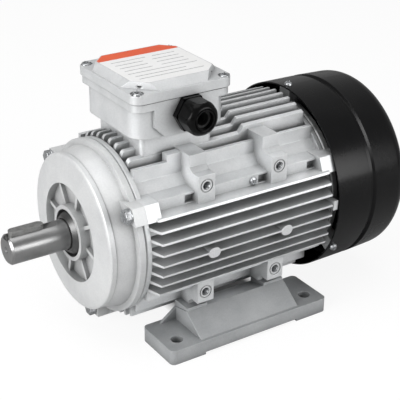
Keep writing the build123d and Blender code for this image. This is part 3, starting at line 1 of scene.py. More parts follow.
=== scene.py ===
# %% [markdown]
# # Three-phase induction motor
#
# The real object is a foot-mounted, fan-cooled motor: a finned housing cast in aluminium, a terminal
# box on top, a steel shaft at one end and a black sheet cowl at the other. All of it could be modelled
# anew in Blender, but then the picture and the CAD model would drift apart. So the CAD pieces are
# loaded as a fixed frame, each already in its place. This script gives them their finishes, adds the
# small pieces that CAD leaves plain, and sets up the camera, the floor and the light. Pieces and
# patterns are given in millimetres, and places that the frame knows are read from it.

import json
import math

import bmesh
import bpy
from mathutils import Matrix, Vector


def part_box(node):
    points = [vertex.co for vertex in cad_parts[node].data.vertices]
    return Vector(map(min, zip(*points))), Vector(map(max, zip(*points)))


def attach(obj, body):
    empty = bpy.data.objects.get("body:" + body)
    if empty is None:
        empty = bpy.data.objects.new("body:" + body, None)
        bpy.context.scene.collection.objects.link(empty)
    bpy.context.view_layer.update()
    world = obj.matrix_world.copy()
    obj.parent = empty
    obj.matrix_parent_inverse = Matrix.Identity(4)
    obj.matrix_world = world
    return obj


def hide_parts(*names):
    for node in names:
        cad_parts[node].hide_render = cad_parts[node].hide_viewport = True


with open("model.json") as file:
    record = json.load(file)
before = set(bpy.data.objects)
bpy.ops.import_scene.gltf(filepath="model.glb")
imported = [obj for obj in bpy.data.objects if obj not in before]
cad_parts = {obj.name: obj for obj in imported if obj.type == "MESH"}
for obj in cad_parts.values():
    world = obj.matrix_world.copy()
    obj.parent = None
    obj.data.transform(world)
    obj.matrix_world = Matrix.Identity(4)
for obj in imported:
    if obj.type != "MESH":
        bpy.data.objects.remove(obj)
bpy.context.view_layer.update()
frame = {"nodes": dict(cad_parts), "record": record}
mounts = {mount["name"]: mount for mount in frame["record"]["mounts"]}
MM = 0.001
AXLE_Z = mounts["output_shaft"]["pos_m"][2] / MM
print(f"{len(frame['nodes'])} CAD pieces, with the axle {AXLE_Z:.1f} mm above the floor")

# %% [markdown]
# ## Camera
#
# The photograph was taken from the drive end and the gland's side, well above the floor, with a long
# lens that keeps parallel edges nearly parallel. A camera can be aimed with a Track To constraint, but
# that leaves no way to roll it. Its matrix takes a place in metres and three turns instead: round the
# upright axis, up from the floor, and round its own line of sight.

# %% Camera
SENSOR_WIDTH = 36.0
FOCAL_LENGTH = 98.1
NEAREST_SHOWN = 0.01
EYE = (-0.4422, -0.6745, 0.4810)
AZIMUTH, ELEVATION, ROLL = -33.5, 26.0, 0.5

camera_data = bpy.data.cameras.new("camera")
camera_data.sensor_width = SENSOR_WIDTH
camera_data.lens = FOCAL_LENGTH
camera_data.clip_start = NEAREST_SHOWN
camera = bpy.data.objects.new("camera", camera_data)
bpy.context.scene.collection.objects.link(camera)
turn = Matrix.Rotation(math.radians(AZIMUTH), 4, "Z")
tilt = Matrix.Rotation(math.radians(90.0 - ELEVATION), 4, "X")
roll = Matrix.Rotation(math.radians(ROLL), 4, "Z")
camera.matrix_world = Matrix.Translation(EYE) @ turn @ tilt @ roll
bpy.context.scene.camera = camera
print(f"camera {ELEVATION} degrees above the floor, {Vector(EYE).length:.2f} m from the origin")

# %% [markdown]
# ## Colours and nodes
#
# Each finish below is a small tree of shader nodes. A tree can be drawn by hand in the shader editor,
# but in a script it is written node by node, and that needs a short form. `tint` turns the sRGB hex
# value of a colour into the linear values that a shader counts in. `add` makes one node of any kind,
# sets its values and links the sockets that it is given, so no kind of node needs its own function.


# %% Colours and nodes
def tint(hexcode, gain=1.0):
    """Linear RGBA from an sRGB hex colour, brighter or darker by a gain."""
    out = []
    for start in (0, 2, 4):
        value = int(hexcode[start : start + 2], 16) / 255
        linear = value / 12.92 if value <= 0.04045 else ((value + 0.055) / 1.055) ** 2.4
        out.append(min(linear * gain, 1.0))
    return (*out, 1.0)


def add(tree, kind, inputs=None, **settings):
    """One node with its settings; an input is a value or another node's socket."""
    node = tree.nodes.new(kind)
    for name, value in settings.items():
        setattr(node, name, value)
    for name, value in (inputs or {}).items():
        if isinstance(value, bpy.types.NodeSocket):
            tree.links.new(value, node.inputs[name])
        else:
            node.inputs[name].default_value = value
    return node


def new_material(name):
    """An empty node material with its shader and its Object coordinates."""
    material = bpy.data.materials.new(name)
    material.use_nodes = True
    tree = material.node_tree
    shader = tree.nodes["Principled BSDF"]
    place = add(tree, "ShaderNodeTexCoord").outputs["Object"]
    print("material:", name)
    return material, tree, shader, place


# %% [markdown]
# ## Patterns in millimetres
#
# No real surface is even: a casting is blotchy, paint has a skin and steel has tool marks. A picture of
# the surface could be wrapped round the piece, but it blurs close up and shows its seams. Noise on
# Object coordinates does neither, and as those are in metres, its scale follows from a real size. Noise
# seldom leaves its middle range, so what it drives is spread over that range and not over 0 to 1.

# %% Patterns in millimetres
NOISE_LOW, NOISE_HIGH = 0.3, 0.7
NOISE_ROUGHNESS = 0.55


def per_mm(size):
    """Texture scale for a pattern that repeats at this size in millimetres."""
    return 1.0 / (size * MM)


def patches(place, size, detail=3.0):
    """Inputs of a noise whose patches are this many millimetres wide."""
    scale = {"Scale": per_mm(size), "Detail": detail, "Roughness": NOISE_ROUGHNESS}
    return {"Vector": place, **scale}


def spread(pattern, low, high):
    """Inputs of a Map Range that runs from low to high over the middle range of a noise."""
    reach = {"From Min": NOISE_LOW, "From Max": NOISE_HIGH, "To Min": low, "To Max": high}
    return {"Value": pattern, **reach}


def two_tones(tree, pattern, dark, light):
    """A colour that drifts from dark to light with the pattern."""
    share = add(tree, "ShaderNodeMapRange", spread(pattern, 0.0, 1.0)).outputs["Result"]
    tones = {"Fac": share, "Color1": dark, "Color2": light}
    return add(tree, "ShaderNodeMixRGB", tones).outputs["Color"]


# %% [markdown]
# ## Painted shade in corners, soft edges and relief
#
# On a casting the feet of the fins lie in shade, no edge is quite sharp, and the surface has a fine
# relief. Rounded edges and grit could be modelled, but on this many fins they would cost millions of
# triangles. The shader does it instead. Ambient Occlusion finds the places that other surfaces hem in,
# and there the colour is darkened as painted shade. Bevel bends the normal near an edge so that it
# shines like a rounded one, and each Bump then adds one pattern as relief. `dress` ends every finish,
# since all of them set the same four things on the shader: colour, metal, shine and relief.

# %% Painted corner shade, soft edges and relief
RAY_SAMPLES = 6
HEMMED_IN, OPEN = 0.25, 0.95


def painted_corner_shade(tree, colour, reach, keep):
    """Painted shade: the colour falls to this share where surfaces hem it in within reach."""
    rays = {"Distance": reach * MM}
    sky = add(tree, "ShaderNodeAmbientOcclusion", rays, samples=RAY_SAMPLES).outputs["AO"]
    darkening = {"Value": sky, "From Min": HEMMED_IN, "From Max": OPEN, "To Min": keep, "To Max": 1.0}
    share = add(tree, "ShaderNodeMapRange", darkening).outputs["Result"]
    shaded = add(tree, "ShaderNodeVectorMath", {0: colour, 1: share}, operation="MULTIPLY")
    return shaded.outputs[0]


def relief(tree, shader, heights, edge):
    """Softens the sharp edges by edge millimetres, then adds each (height, depth in mm)."""
    softened = add(tree, "ShaderNodeBevel", {"Radius": edge * MM}, samples=RAY_SAMPLES)
    normal = softened.outputs["Normal"]
    for height, depth in heights:
        inputs = {"Height": height, "Strength": 1.0, "Distance": depth * MM, "Normal": normal}
        normal = add(tree, "ShaderNodeBump", inputs).outputs["Normal"]
    tree.links.new(normal, shader.inputs["Normal"])


def dress(tree, shader, colour, metallic, shine, heights, edge):
    """Sets the shader's colour, its shine from (pattern, low, high) and its relief."""
    tree.links.new(colour, shader.inputs["Base Color"])
    shader.inputs["Metallic"].default_value = metallic
    roughness = add(tree, "ShaderNodeMapRange", spread(*shine)).outputs["Result"]
    tree.links.new(roughness, shader.inputs["Roughness"])
    relief(tree, shader, heights, edge)


# %% [markdown]
# ## Cast aluminium
#
# The housing, shields, terminal box and feet are aluminium, cast in steel dies and shot-blasted. That
# gives a pale, broken shine, faint blotches and a sandy grain. One plain grey metal would look like
# plastic here, so four noises of different sizes share the work. The broad one shifts the colour, the
# specks change colour and shine, and the sand and the shallow dents are relief. It isn't made fully
# metallic, because the blasted skin scatters light as well.


# %% Cast aluminium
def cast_metal(name, dark, light, metallic, roughness, grain, edge, reach=9.0, keep=0.45):
    """A blasted casting; grain, edge and the reach of its painted corner shade are in millimetres."""
    material, tree, shader, place = new_material(name)
    blotch = add(tree, "ShaderNodeTexNoise", patches(place, size=26.0)).outputs["Fac"]
    speck = add(tree, "ShaderNodeTexNoise", patches(place, size=1.1, detail=5.0)).outputs["Fac"]
    sand = add(tree, "ShaderNodeTexNoise", patches(place, size=grain, detail=4.0)).outputs["Fac"]
    dent = add(tree, "ShaderNodeTexNoise", patches(place, size=9.0)).outputs["Fac"]
    broad = two_tones(tree, blotch, tint(dark), tint(light))
    fine = two_tones(tree, speck, tint(dark, gain=0.75), tint(light, gain=1.12))
    mix = {"Fac": 0.22, "Color1": broad, "Color2": fine}
    mottled = add(tree, "ShaderNodeMixRGB", mix).outputs["Color"]
    # Painted shade: the colour is darkened where other surfaces hem it in.
    colour = painted_corner_shade(tree, mottled, reach, keep)
    shine = (speck, roughness - 0.06, roughness + 0.07)
    dress(tree, shader, colour, metallic, shine, [(sand, 0.035), (dent, 0.05)], edge)
    return material


# The housing is the brightest casting. Blasting leaves pits of about 0.1 mm, too fine to show, so the
# grain of every casting is drawn four to six times as coarse.
housing_metal = cast_metal(
    "die_cast_aluminium", "d8dadb", "ecedee", metallic=0.7, roughness=0.5, grain=0.45, edge=0.55
)
# The shields are duller, and the painted shade in their deep recesses falls to dark grey over a longer
# reach.
shield_metal = cast_metal(
    "machined_cast_aluminium",
    "d4d5d6",
    "e4e5e5",
    metallic=0.6,
    roughness=0.58,
    grain=0.40,
    edge=0.6,
    reach=16.0,
    keep=0.28,
)
# The terminal box has a matt, even skin.
box_metal = cast_metal(
    "terminal_box_aluminium", "cfd1d2", "e0e1e2", metallic=0.6, roughness=0.56, grain=0.5, edge=0.7
)
# The feet come from another casting and are a clear step darker.
foot_metal = cast_metal(
    "foot_aluminium", "aaacae", "c0c2c3", metallic=0.5, roughness=0.5, grain=0.6, edge=0.6
)
# The bars and end rings of the rotor are cast in place and left smooth.
cage_aluminium = cast_metal(
    "cage_aluminium", "b0b2b4", "c8cacc", metallic=0.9, roughness=0.38, grain=0.5, edge=0.3
)


# %% [markdown]
# ## Turned and ground metal
#
# The shaft and the bearing rings are turned or ground, so fine rings run round the axle and drag each
# highlight out across them. Anisotropic shading could do that with a tangent for each piece. A noise
# is simpler and needs no tangent. Its patches are squeezed 6 times along the shaft and drawn out 20
# times across it, so they turn into rings that nudge the shine and the relief.

# %% Turned and ground metal
SQUEEZE = (6.0, 0.05, 0.05)


def turned_metal(name, dark, light, roughness, patch, edge=0.3):
    """Turned metal, whose rings are a sixth as wide as the patch in millimetres."""
    material, tree, shader, place = new_material(name)
    factors = {0: place, 1: SQUEEZE}
    squeezed = add(tree, "ShaderNodeVectorMath", factors, operation="MULTIPLY").outputs[0]
    marks = patches(squeezed, size=patch, detail=2.0)
    rings = add(tree, "ShaderNodeTexNoise", marks).outputs["Fac"]
    cloud = add(tree, "ShaderNodeTexNoise", patches(place, size=12.0)).outputs["Fac"]
    colour = two_tones(tree, cloud, tint(dark), tint(light))
    shine = (rings, roughness - 0.01, roughness + 0.02)
    dress(tree, shader, colour, 1.0, shine, [(rings, 0.004)], edge)
    return material


# Real tool marks are under 0.1 mm apart. The rings here are all about 0.3 mm wide, so that they show.
# The ring on the shaft is dark satin steel. The ground shaft end is brighter and a little glossier.
v_ring_steel = turned_metal("turned_ring_steel", "585858", "6a6a6a", roughness=0.36, patch=1.6)
shaft_steel = turned_metal("ground_shaft_steel", "8a8a8a", "969696", roughness=0.3, patch=2.0)
# Bearing steel is ground and honed, almost a mirror. Brass is yellow and bright from the lathe.
bearing_steel = turned_metal("ground_bearing_steel", "b8b9bb", "d2d3d4", roughness=0.16, patch=1.6)
brass = turned_metal("turned_brass", "b08d45", "c9a85c", roughness=0.25, patch=1.6)


# %% [markdown]
# ## Plated, drawn and blued steel
#
# Screws and bolts are zinc-plated: bright, slightly cloudy, with crystals that each shine a little
# differently. Noise has no crystals, but the cells of a Voronoi texture are flat patches with straight
# borders, as crystals are. So the cells drive the shine, and a noise clouds the colour. The same
# cells serve the drawn key and the blued springs, which are patchy in the same way.


# %% Plated, drawn and blued steel
def plated_metal(name, dark, light, roughness, crystal, edge=0.25):
    """Steel under a thin skin of crystals, whose size is in millimetres."""
    material, tree, shader, place = new_material(name)
    cells = {"Vector": place, "Scale": per_mm(crystal)}
    spangle = add(tree, "ShaderNodeTexVoronoi", cells).outputs["Color"]
    cloud = add(tree, "ShaderNodeTexNoise", patches(place, size=4.0)).outputs["Fac"]
    colour = two_tones(tree, cloud, tint(dark), tint(light))
    shine = (spangle, roughness - 0.04, roughness + 0.1)
    dress(tree, shader, colour, 1.0, shine, [(cloud, 0.01)], edge)
    return material


# Zinc crystals are far finer than a millimetre. They are drawn near one, so that they show.
zinc = plated_metal("bright_zinc_plate", "a2a4a6", "c2c4c6", roughness=0.3, crystal=0.9)
# The key is bare drawn steel, greyer and more matt than the plate.
key_steel = plated_metal("drawn_key_steel", "8a8a89", "a2a2a1", roughness=0.38, crystal=0.8)
# Springs are hardened and blued, which leaves a dark, slightly blue steel.
spring_steel = plated_metal("blued_spring_steel", "3c4048", "525660", roughness=0.34, crystal=1.2)


# %% [markdown]
# ## Core plates and winding
#
# Both cores are stacks of half-millimetre steel sheets, and the coil ends are bundles of varnished
# copper wire. Single sheets and turns of wire could be modelled, but there would be hundreds, all
# hidden inside the housing. A Wave texture draws them on the plain solids: straight across the shaft
# for the sheets, and slanted and bent by noise for the wire. It fits about three waves into one unit
# of its scale, and they are drawn about twice as coarse as they are, so that they show.

# %% Core plates and winding
WAVES_IN_A_UNIT = 3.15
COARSER = 2.0
SHEET, WIRE = 0.5, 0.9


def wave_scale(size):
    """Scale of a wave for sheets or wires of this size in millimetres."""
    return per_mm(COARSER * WAVES_IN_A_UNIT * size)


def stacked_plates(name, dark, light):
    """Sheet edges in dull steel, with rusty patches."""
    material, tree, shader, place = new_material(name)
    bands = {"Vector": place, "Scale": wave_scale(SHEET), "Distortion": 0.2, "Detail": 1.0}
    sheets = add(tree, "ShaderNodeTexWave", bands, bands_direction="X").outputs["Fac"]
    stain = add(tree, "ShaderNodeTexNoise", patches(place, size=7.0)).outputs["Fac"]
    colour = two_tones(tree, stain, tint(dark), tint(light))
    dress(tree, shader, colour, 0.8, (sheets, 0.38, 0.55), [(sheets, 0.05)], edge=0.2)
    return material


def wound_wire(name, dark, light, varnish):
    """Strands of wire, with varnish pooled over some of them."""
    material, tree, shader, place = new_material(name)
    bands = {"Vector": place, "Scale": wave_scale(WIRE), "Distortion": 5.0, "Detail": 2.0}
    bands["Detail Scale"] = 1.5
    strands = add(tree, "ShaderNodeTexWave", bands, bands_direction="DIAGONAL").outputs["Fac"]
    pool = add(tree, "ShaderNodeTexNoise", patches(place, size=5.0)).outputs["Fac"]
    wire = two_tones(tree, strands, tint(dark), tint(light))
    coated = {"Fac": pool, "Color1": wire, "Color2": tint(varnish)}
    colour = add(tree, "ShaderNodeMixRGB", coated).outputs["Color"]
    shader.inputs["Coat Weight"].default_value = 0.6
    dress(tree, shader, colour, 0.45, (pool, 0.25, 0.42), [(strands, 0.35)], edge=0.5)
    return material


# Electrical sheet is dark, blue-grey and dull. Enamelled copper is brown to orange and glossy.
core_steel = stacked_plates("lamination_steel", "3b3c40", "55565a")
winding_wire = wound_wire("varnished_copper_wire", "8a4a1e", "c9814a", varnish="7a3510")


# %% [markdown]
# ## Painted sheet, plastics and rubber
#
# The cowl is powder-coated sheet with a soft orange peel, the gland is moulded nylon, and seals and
# gaskets are rubber. All are dark, and none is metallic: what sets them apart is how they shine. So one
# function makes them all, with a skin of fine relief, a slight drift of colour and, for rubber, a dust
# of pale bloom. The cowl and the gland reflect little, with a thin clear coat on top. That gives
# them the small sharp highlights on near-black that the plain shader makes too grey.

# %% Painted sheet, plastics and rubber
COAT_ROUGHNESS = 0.16
BLOOM = "6b6b6b"


def moulded(name, dark, light, roughness, grain, depth, bloom=0.0, edge=0.35, gloss=0.5, coat=0.0):
    """A non-metal; grain, depth and edge are in millimetres, and bloom is the share of dust."""
    material, tree, shader, place = new_material(name)
    shader.inputs["Specular IOR Level"].default_value = gloss
    shader.inputs["Coat Weight"].default_value = coat
    shader.inputs["Coat Roughness"].default_value = COAT_ROUGHNESS
    cloud = add(tree, "ShaderNodeTexNoise", patches(place, size=18.0)).outputs["Fac"]
    skin = add(tree, "ShaderNodeTexNoise", patches(place, size=grain)).outputs["Fac"]
    colour = two_tones(tree, cloud, tint(dark), tint(light))
    if bloom:
        dust = add(tree, "ShaderNodeTexNoise", patches(place, size=3.0, detail=6.0)).outputs["Fac"]
        share = add(tree, "ShaderNodeMapRange", spread(dust, 0.0, bloom)).outputs["Result"]
        dusty = {"Fac": share, "Color1": colour, "Color2": tint(BLOOM)}
        colour = add(tree, "ShaderNodeMixRGB", dusty).outputs["Color"]
    shine = (cloud, roughness - 0.03, roughness + 0.04)
    dress(tree, shader, colour, 0.0, shine, [(skin, depth)], edge)
    return material


# Powder coat flows out smooth, with an orange peel 1.6 mm wide and hardly 0.01 mm deep.
cowl_paint = moulded(
    "black_powder_coat",
    "040405",
    "070708",
    roughness=0.25,
    grain=1.6,
    depth=0.012,
    edge=0.6,
    gloss=0.16,
    coat=0.12,
)
# Nylon copies the fine spark-eroded skin of its mould and looks like black wax.
nylon = moulded(
    "black_moulded_nylon",
    "030303",
    "050505",
    roughness=0.22,
    grain=0.35,
    depth=0.02,
    edge=0.5,
    gloss=0.1,
    coat=0.07,
)
# The fan's polypropylene is a greyer black with a soft shine.
fan_plastic = moulded("fan_polypropylene", "202124", "2a2b2e", roughness=0.45, grain=0.6, depth=0.02)
# Nitrile rubber is matt, and its bloom greys it. The gaskets are foamed and more matt still.
rubber = moulded(
    "nitrile_rubber", "0f0f0f", "181818", roughness=0.62, grain=0.5, depth=0.03, bloom=0.25
)
gasket_foam = moulded(
    "gasket_rubber", "1d1d1d", "292929", roughness=0.75, grain=0.3, depth=0.06, bloom=0.3, edge=0.2
)
# The terminal board is pressed from phenolic resin, dark brown with a dull polish.
phenolic = moulded("phenolic_moulding", "2a201a", "382b22", roughness=0.40, grain=0.8, depth=0.02)

# %% [markdown]
# ## Finishes of the CAD pieces
#
# A CAD piece brings its own mesh, so it only needs the finish of the real piece. Finishes could be
# handed out one call at a time, but a table reads like a parts list, and one loop then fills every
# material slot. The table leaves out only the rings and balls of the bearings, which get bearing steel.

# %% Finishes of the CAD pieces
node_materials = {
    "housing": housing_metal,
    "drive_end_shield": shield_metal,
    "fan_end_shield": shield_metal,
    "terminal_box": box_metal,
    "terminal_box_lid": box_metal,
    "foot_gland_side": foot_metal,
    "foot_far_side": foot_metal,
    "fan_cowl": cowl_paint,
    "shaft": shaft_steel,
    "shaft_key": key_steel,
    "foot_bolts": zinc,
    "box_screws": zinc,
    "gland_locknut": nylon,
    "gland_seal": rubber,
    "box_gasket": gasket_foam,
    "lid_gasket": gasket_foam,
    "drive_shaft_seal": rubber,
    "fan_shaft_seal": rubber,
    "shaft_v_ring": v_ring_steel,
    "stator_core": core_steel,
    "rotor_core": core_steel,
    "winding_drive_end": winding_wire,
    "winding_fan_end": winding_wire,
    "rotor_cage": cage_aluminium,
    "cooling_fan": fan_plastic,
    "fan_circlip": spring_steel,
    "preload_spring": spring_steel,
    "terminal_board": phenolic,
    "terminal_studs": brass,
    "terminal_links": brass,
    "drive_bearing_cage": spring_steel,
    "fan_bearing_cage": spring_steel,
    "drive_shield_bolts": zinc,
    "fan_shield_bolts": zinc,
    "cowl_screws": zinc,
    "lid_screws": zinc,
    "earth_screw": zinc,
    "gland_body": nylon,
    "gland_cap_nut": nylon,
}
for node_name, node_object in frame["nodes"].items():
    for slot_of_node in node_object.material_slots:
        slot_of_node.material = node_materials.get(node_name, bearing_steel)
print("pieces of bearing steel:", sorted(set(frame["nodes"]) - set(node_materials)))

# %% [markdown]
# ## Turned forms and templates
#
# Washers, screw heads and the gland's cap are turned or moulded round an axis. Such a form could start
# from stacked cylinders, but a lathe is closer to how it is made: half of its outline, given as radius
# and height, is spun once round the Z axis. Each form is built as a template mesh that stands on its
# seat at zero, so that one template can serve many places.


# %% Turned forms and templates
def lathe(bm, profile, segments=48):
    """Spins (radius, height) points in millimetres round the Z axis."""
    points = [bm.verts.new((radius * MM, 0.0, height * MM)) for radius, height in profile]
    lines = [bm.edges.new(pair) for pair in zip(points, points[1:])]
    bmesh.ops.spin(
        bm,
        geom=points + lines,
        cent=(0, 0, 0),
        axis=(0, 0, 1),
        angle=math.tau,
        steps=segments,
        use_merge=True,
    )
    bmesh.ops.remove_doubles(bm, verts=bm.verts, dist=1e-7)


def template(name, build):
    """A mesh made by a build function, with its faces turned outwards."""
    mesh = bpy.data.meshes.new(name)
    bm = bmesh.new()
    build(bm)
    bmesh.ops.recalc_face_normals(bm, faces=bm.faces)
    bm.to_mesh(mesh)
    bm.free()
    print(f"template {name}: {len(mesh.polygons)} faces")
    return mesh


# %% [markdown]
# ## Hexagons and softened edges
#
# Bolt heads and the gland's cap start from hexagon bar, whose edges are rounded or chamfered. A cone
# with six sides and two equal ends is such a bar, and the bevel operator softens the edges that are
# picked out for it. A Bevel modifier would need weights to tell those edges from the rest.


# %% Hexagons and softened edges
def hexagon_bar(bm, across, base, height, spin=0.0):
    """A hexagon bar this far across its flats, from its base upwards; returns its edges."""
    radius = across / 2 / math.cos(math.pi / 6) * MM
    lift = Matrix.Translation((0, 0, (base + height / 2) * MM))
    made = bmesh.ops.create_cone(
        bm,
        cap_ends=True,
        segments=6,
        radius1=radius,
        radius2=radius,
        depth=height * MM,
        matrix=lift @ Matrix.Rotation(math.radians(spin), 4, "Z"),
    )
    return {edge for corner in made["verts"] for edge in corner.link_edges}


def soften(bm, edges, offset, segments):
    """Rounds these edges, or chamfers them where there is one segment."""
    bmesh.ops.bevel(
        bm,
        geom=edges,
        offset=offset * MM,
        offset_type="OFFSET",
        segments=segments,
        profile=0.5,
        affect="EDGES",
        material=-1,
    )


def upright(edges):
    """The edges whose ends lie at different heights."""
    return [edge for edge in edges if abs(edge.verts[0].co.z - edge.verts[1].co.z) > 0.1 * MM]


# %% [markdown]
# ## Cutting one mesh with another
#
# Cross recesses and the gland's bore are cut into a finished form. Bmesh has no such cut, so a Boolean
# modifier on a helper object does it. Its exact solver copes with faces that touch, and the result is
# taken as a plain mesh, so that no modifier stays live.


# %% Cutting one mesh with another
def cut_to(mesh, other, operation):
    """The mesh after a Boolean with another one."""
    body = bpy.data.objects.new("cut_body", mesh)
    cutter = bpy.data.objects.new("cutter", other)
    for each in (body, cutter):
        bpy.context.scene.collection.objects.link(each)
    boolean = body.modifiers.new("cut", "BOOLEAN")
    boolean.object = cutter
    boolean.operation = operation
    boolean.solver = "EXACT"
    graph = bpy.context.evaluated_depsgraph_get()
    result = bpy.data.meshes.new_from_object(body.evaluated_get(graph))
    bpy.data.objects.remove(body)
    bpy.data.objects.remove(cutter)
    print(f"{operation.lower()} of {mesh.name} and {other.name}: {len(result.polygons)} faces")
    return result


# %% [markdown]
# ## Putting pieces in place
#
# Screws come in sets, and a set is one piece of the model. Linked copies would leave many objects with
# turned axes, while the export wants each piece in one mesh with its place in the mesh itself. A copy
# of the template is moved to each place, and all copies are joined. The piece then rides on a body of
# the CAD model, and the CAD piece that it replaces, if any, is hidden.

# %% Putting pieces in place
SHARP_FROM = 32.0


def place_all(name, mesh, places, material, body, slot, replaced=None):
    """One object with a copy of the mesh at each place."""
    bm = bmesh.new()
    for matrix in places:
        copy = mesh.copy()
        copy.transform(matrix)
        bm.from_mesh(copy)
        bpy.data.meshes.remove(copy)
    joined = bpy.data.meshes.new(name)
    bm.to_mesh(joined)
    bm.free()
    joined.materials.clear()
    joined.materials.append(material)
    joined.shade_smooth()
    joined.set_sharp_from_angle(angle=math.radians(SHARP_FROM))
    piece = bpy.data.objects.new(name, joined)
    bpy.context.scene.collection.objects.link(piece)
    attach(piece, body)
    if replaced:
        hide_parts(replaced)
    print(f"{name}: {len(places)} placed, {len(joined.polygons)} faces")
    return piece


def pointing(place, direction, spin=0.0):
    """The matrix that moves a template to a place in millimetres and turns its Z to a direction."""
    turned = Vector(direction).to_track_quat("Z", "Y").to_matrix().to_4x4()
    spun = Matrix.Rotation(math.radians(spin), 4, "Z")
    return Matrix.Translation(Vector(place) * MM) @ turned @ spun


def outward(angle):
    """The direction away from the axle at an angle from +Y, across the shaft."""
    return (0.0, math.cos(math.radians(angle)), math.sin(math.radians(angle)))


def on_circle(x, radius, angle):
    """A point round the axle, at an angle from +Y, in millimetres."""
    _, y, z = outward(angle)
    return (x, radius * y, AXLE_Z + radius * z)


# %% [markdown]
# ## Hexagon bolts of the end shields
#
# Three M6 bolts hold each end shield. The photograph shows a flat washer under each and a head 10 mm
# across its flats, with a chamfered rim and a faint raised ring on top. The bolt could be cut from one
# blank, but it is quicker to stack its forms in one template: the washer, ring and shank are turned,
# and the head is a softened hexagon. Nothing is cut away where they meet, because what overlaps inside
# a piece is never seen.

# %% Hexagon bolts of the end shields
SHIELD_SEAT_X = 98.0
BOLT_CIRCLE = 72.8
SHIELD_BOLT_ANGLES = (30, 150, 270)
WASHER = 1.2
HEAD_ACROSS, HEAD_HEIGHT = 10.0, 4.0
HEAD_TOP = WASHER + HEAD_HEIGHT


def hexagon_bolt(bm):
    """A bolt with its washer, standing on its seat."""
    lathe(bm, [(3.0, 0.0), (5.3, 0.0), (5.6, 0.2), (5.6, 1.0), (5.4, WASHER), (3.0, WASHER)])
    edges = hexagon_bar(bm, HEAD_ACROSS, WASHER, HEAD_HEIGHT)
    rim = HEAD_TOP * MM - 1e-6
    soften(bm, [e for e in edges if all(v.co.z > rim for v in e.verts)], offset=0.5, segments=3)
    crown = HEAD_TOP + 0.02
    lathe(bm, [(0.01, crown), (2.6, crown), (3.4, crown + 0.1), (4.2, crown)], segments=32)
    lathe(bm, [(2.9, WASHER), (2.9, -14.5), (2.5, -15.0), (0.01, -15.0)], segments=32)


bolt_mesh = template("hexagon_bolt", hexagon_bolt)
plated = {"material": zinc, "body": "motor_body", "slot": "zinc_steel"}
for end, side in (("drive", -1), ("fan", 1)):
    spots = [(on_circle(side * SHIELD_SEAT_X, BOLT_CIRCLE, a), a) for a in SHIELD_BOLT_ANGLES]
    bolt_places = [pointing(spot, (side, 0, 0), angle) for spot, angle in spots]
    bolts = f"{end}_shield_hexagon_bolts"
    place_all(bolts, bolt_mesh, bolt_places, **plated, replaced=f"{end}_shield_bolts")

# %% [markdown]
# ## Cross-recess screws
#
# Pan-head screws with a cross recess hold the lid and the cowl and mark the earth point. In reality a
# punch forms the cross in the soft blank. Pushing faces down by hand would do for one screw. Here two
# crossed bars that narrow downwards are cut out of the turned head, as a punch would leave it, and one
# function makes the screw at any size, because the head's outline is given in shares of its own size.


# %% Cross-recess screws
def pan_head(radius, height, shank, length):
    """A build function for a screw with a domed head and a plain shank."""

    def build(bm):
        dome_line = ((0.35, 1.0), (0.62, 0.95), (0.84, 0.78), (0.97, 0.45), (1.0, 0.15))
        profile = [(0.01, height)]
        profile += [(radius * out, height * up) for out, up in dome_line]
        profile += [(radius, 0.0), (shank, 0.0), (shank, -length + 0.5)]
        profile += [(shank - 0.4, -length), (0.01, -length)]
        lathe(bm, profile)

    return build


def cross(radius, top):
    """A build function for the punch: two crossed bars, narrower at their lower ends."""

    def build(bm):
        for spin in (0, 90):
            turned = Matrix.Rotation(math.radians(spin), 4, "Z")
            size = Matrix.Diagonal((radius * 1.1 * MM, radius * 0.24 * MM, top * MM, 1))
            lift = Matrix.Translation((0, 0, top * 0.9 * MM))
            made = bmesh.ops.create_cube(bm, size=1.0, matrix=turned @ lift @ size)
            low = [v for v in made["verts"] if v.co.z < top * 0.8 * MM]
            bmesh.ops.scale(bm, vec=(0.45, 0.45, 1), verts=low)

    return build


def pan_screw(name, radius, height, shank, length):
    """A pan-head screw with its cross recess."""
    head = template(name, pan_head(radius, height, shank, length))
    return cut_to(head, template(name + "_cross", cross(radius, height)), "DIFFERENCE")


# %% [markdown]
# ## Screws of the lid
#
# Four screws sit in seats at the corners of the terminal box lid. A screw seldom stops with its cross
# square to the edges, so each gets a spin of its own. Random spins would do, but a small sum of the
# corner's signs gives four different ones that stay the same on every run.

# %% Screws of the lid
SCREW_INSET_X, SCREW_INSET_Y, SEAT_DEPTH = 5.4, 5.6, 6.1

lid_low, lid_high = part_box("terminal_box_lid")
BOX_X = (lid_low.x + lid_high.x) / 2 / MM
LID_TOP = lid_high.z / MM
LID_SCREW_X = (lid_high.x - lid_low.x) / 2 / MM - SCREW_INSET_X
LID_SCREW_Y = (lid_high.y - lid_low.y) / 2 / MM - SCREW_INSET_Y
LID_SEAT_Z = LID_TOP - SEAT_DEPTH
print(f"lid screws {2 * LID_SCREW_X:.1f} by {2 * LID_SCREW_Y:.1f} mm apart")

lid_screw_mesh = pan_screw("lid_screw", radius=3.8, height=1.8, shank=2.4, length=11.5)
lid_places = []
for sx in (-1, 1):
    for sy in (-1, 1):
        corner = (BOX_X + sx * LID_SCREW_X, sy * LID_SCREW_Y, LID_SEAT_Z)
        lid_places.append(pointing(corner, (0, 0, 1), 25 + 40 * sx + 15 * sy))
place_all("lid_pan_screws", lid_screw_mesh, lid_places, **plated, replaced="lid_screws")

# %% [markdown]
# ## Screws of the cowl and the earth point
#
# Three screws pin the cowl to the fan-end shield, each pointing straight at the axle. The earth screw
# stands on the side rail below the terminal box. Both are the same pan head at other sizes, so they
# come from the same function.

# %% Screws of the cowl and the earth point
COWL_SCREW_X, COWL_RADIUS = 91.0, 80.45
EARTH_POINT = (12.6, -61.0, 126.2)

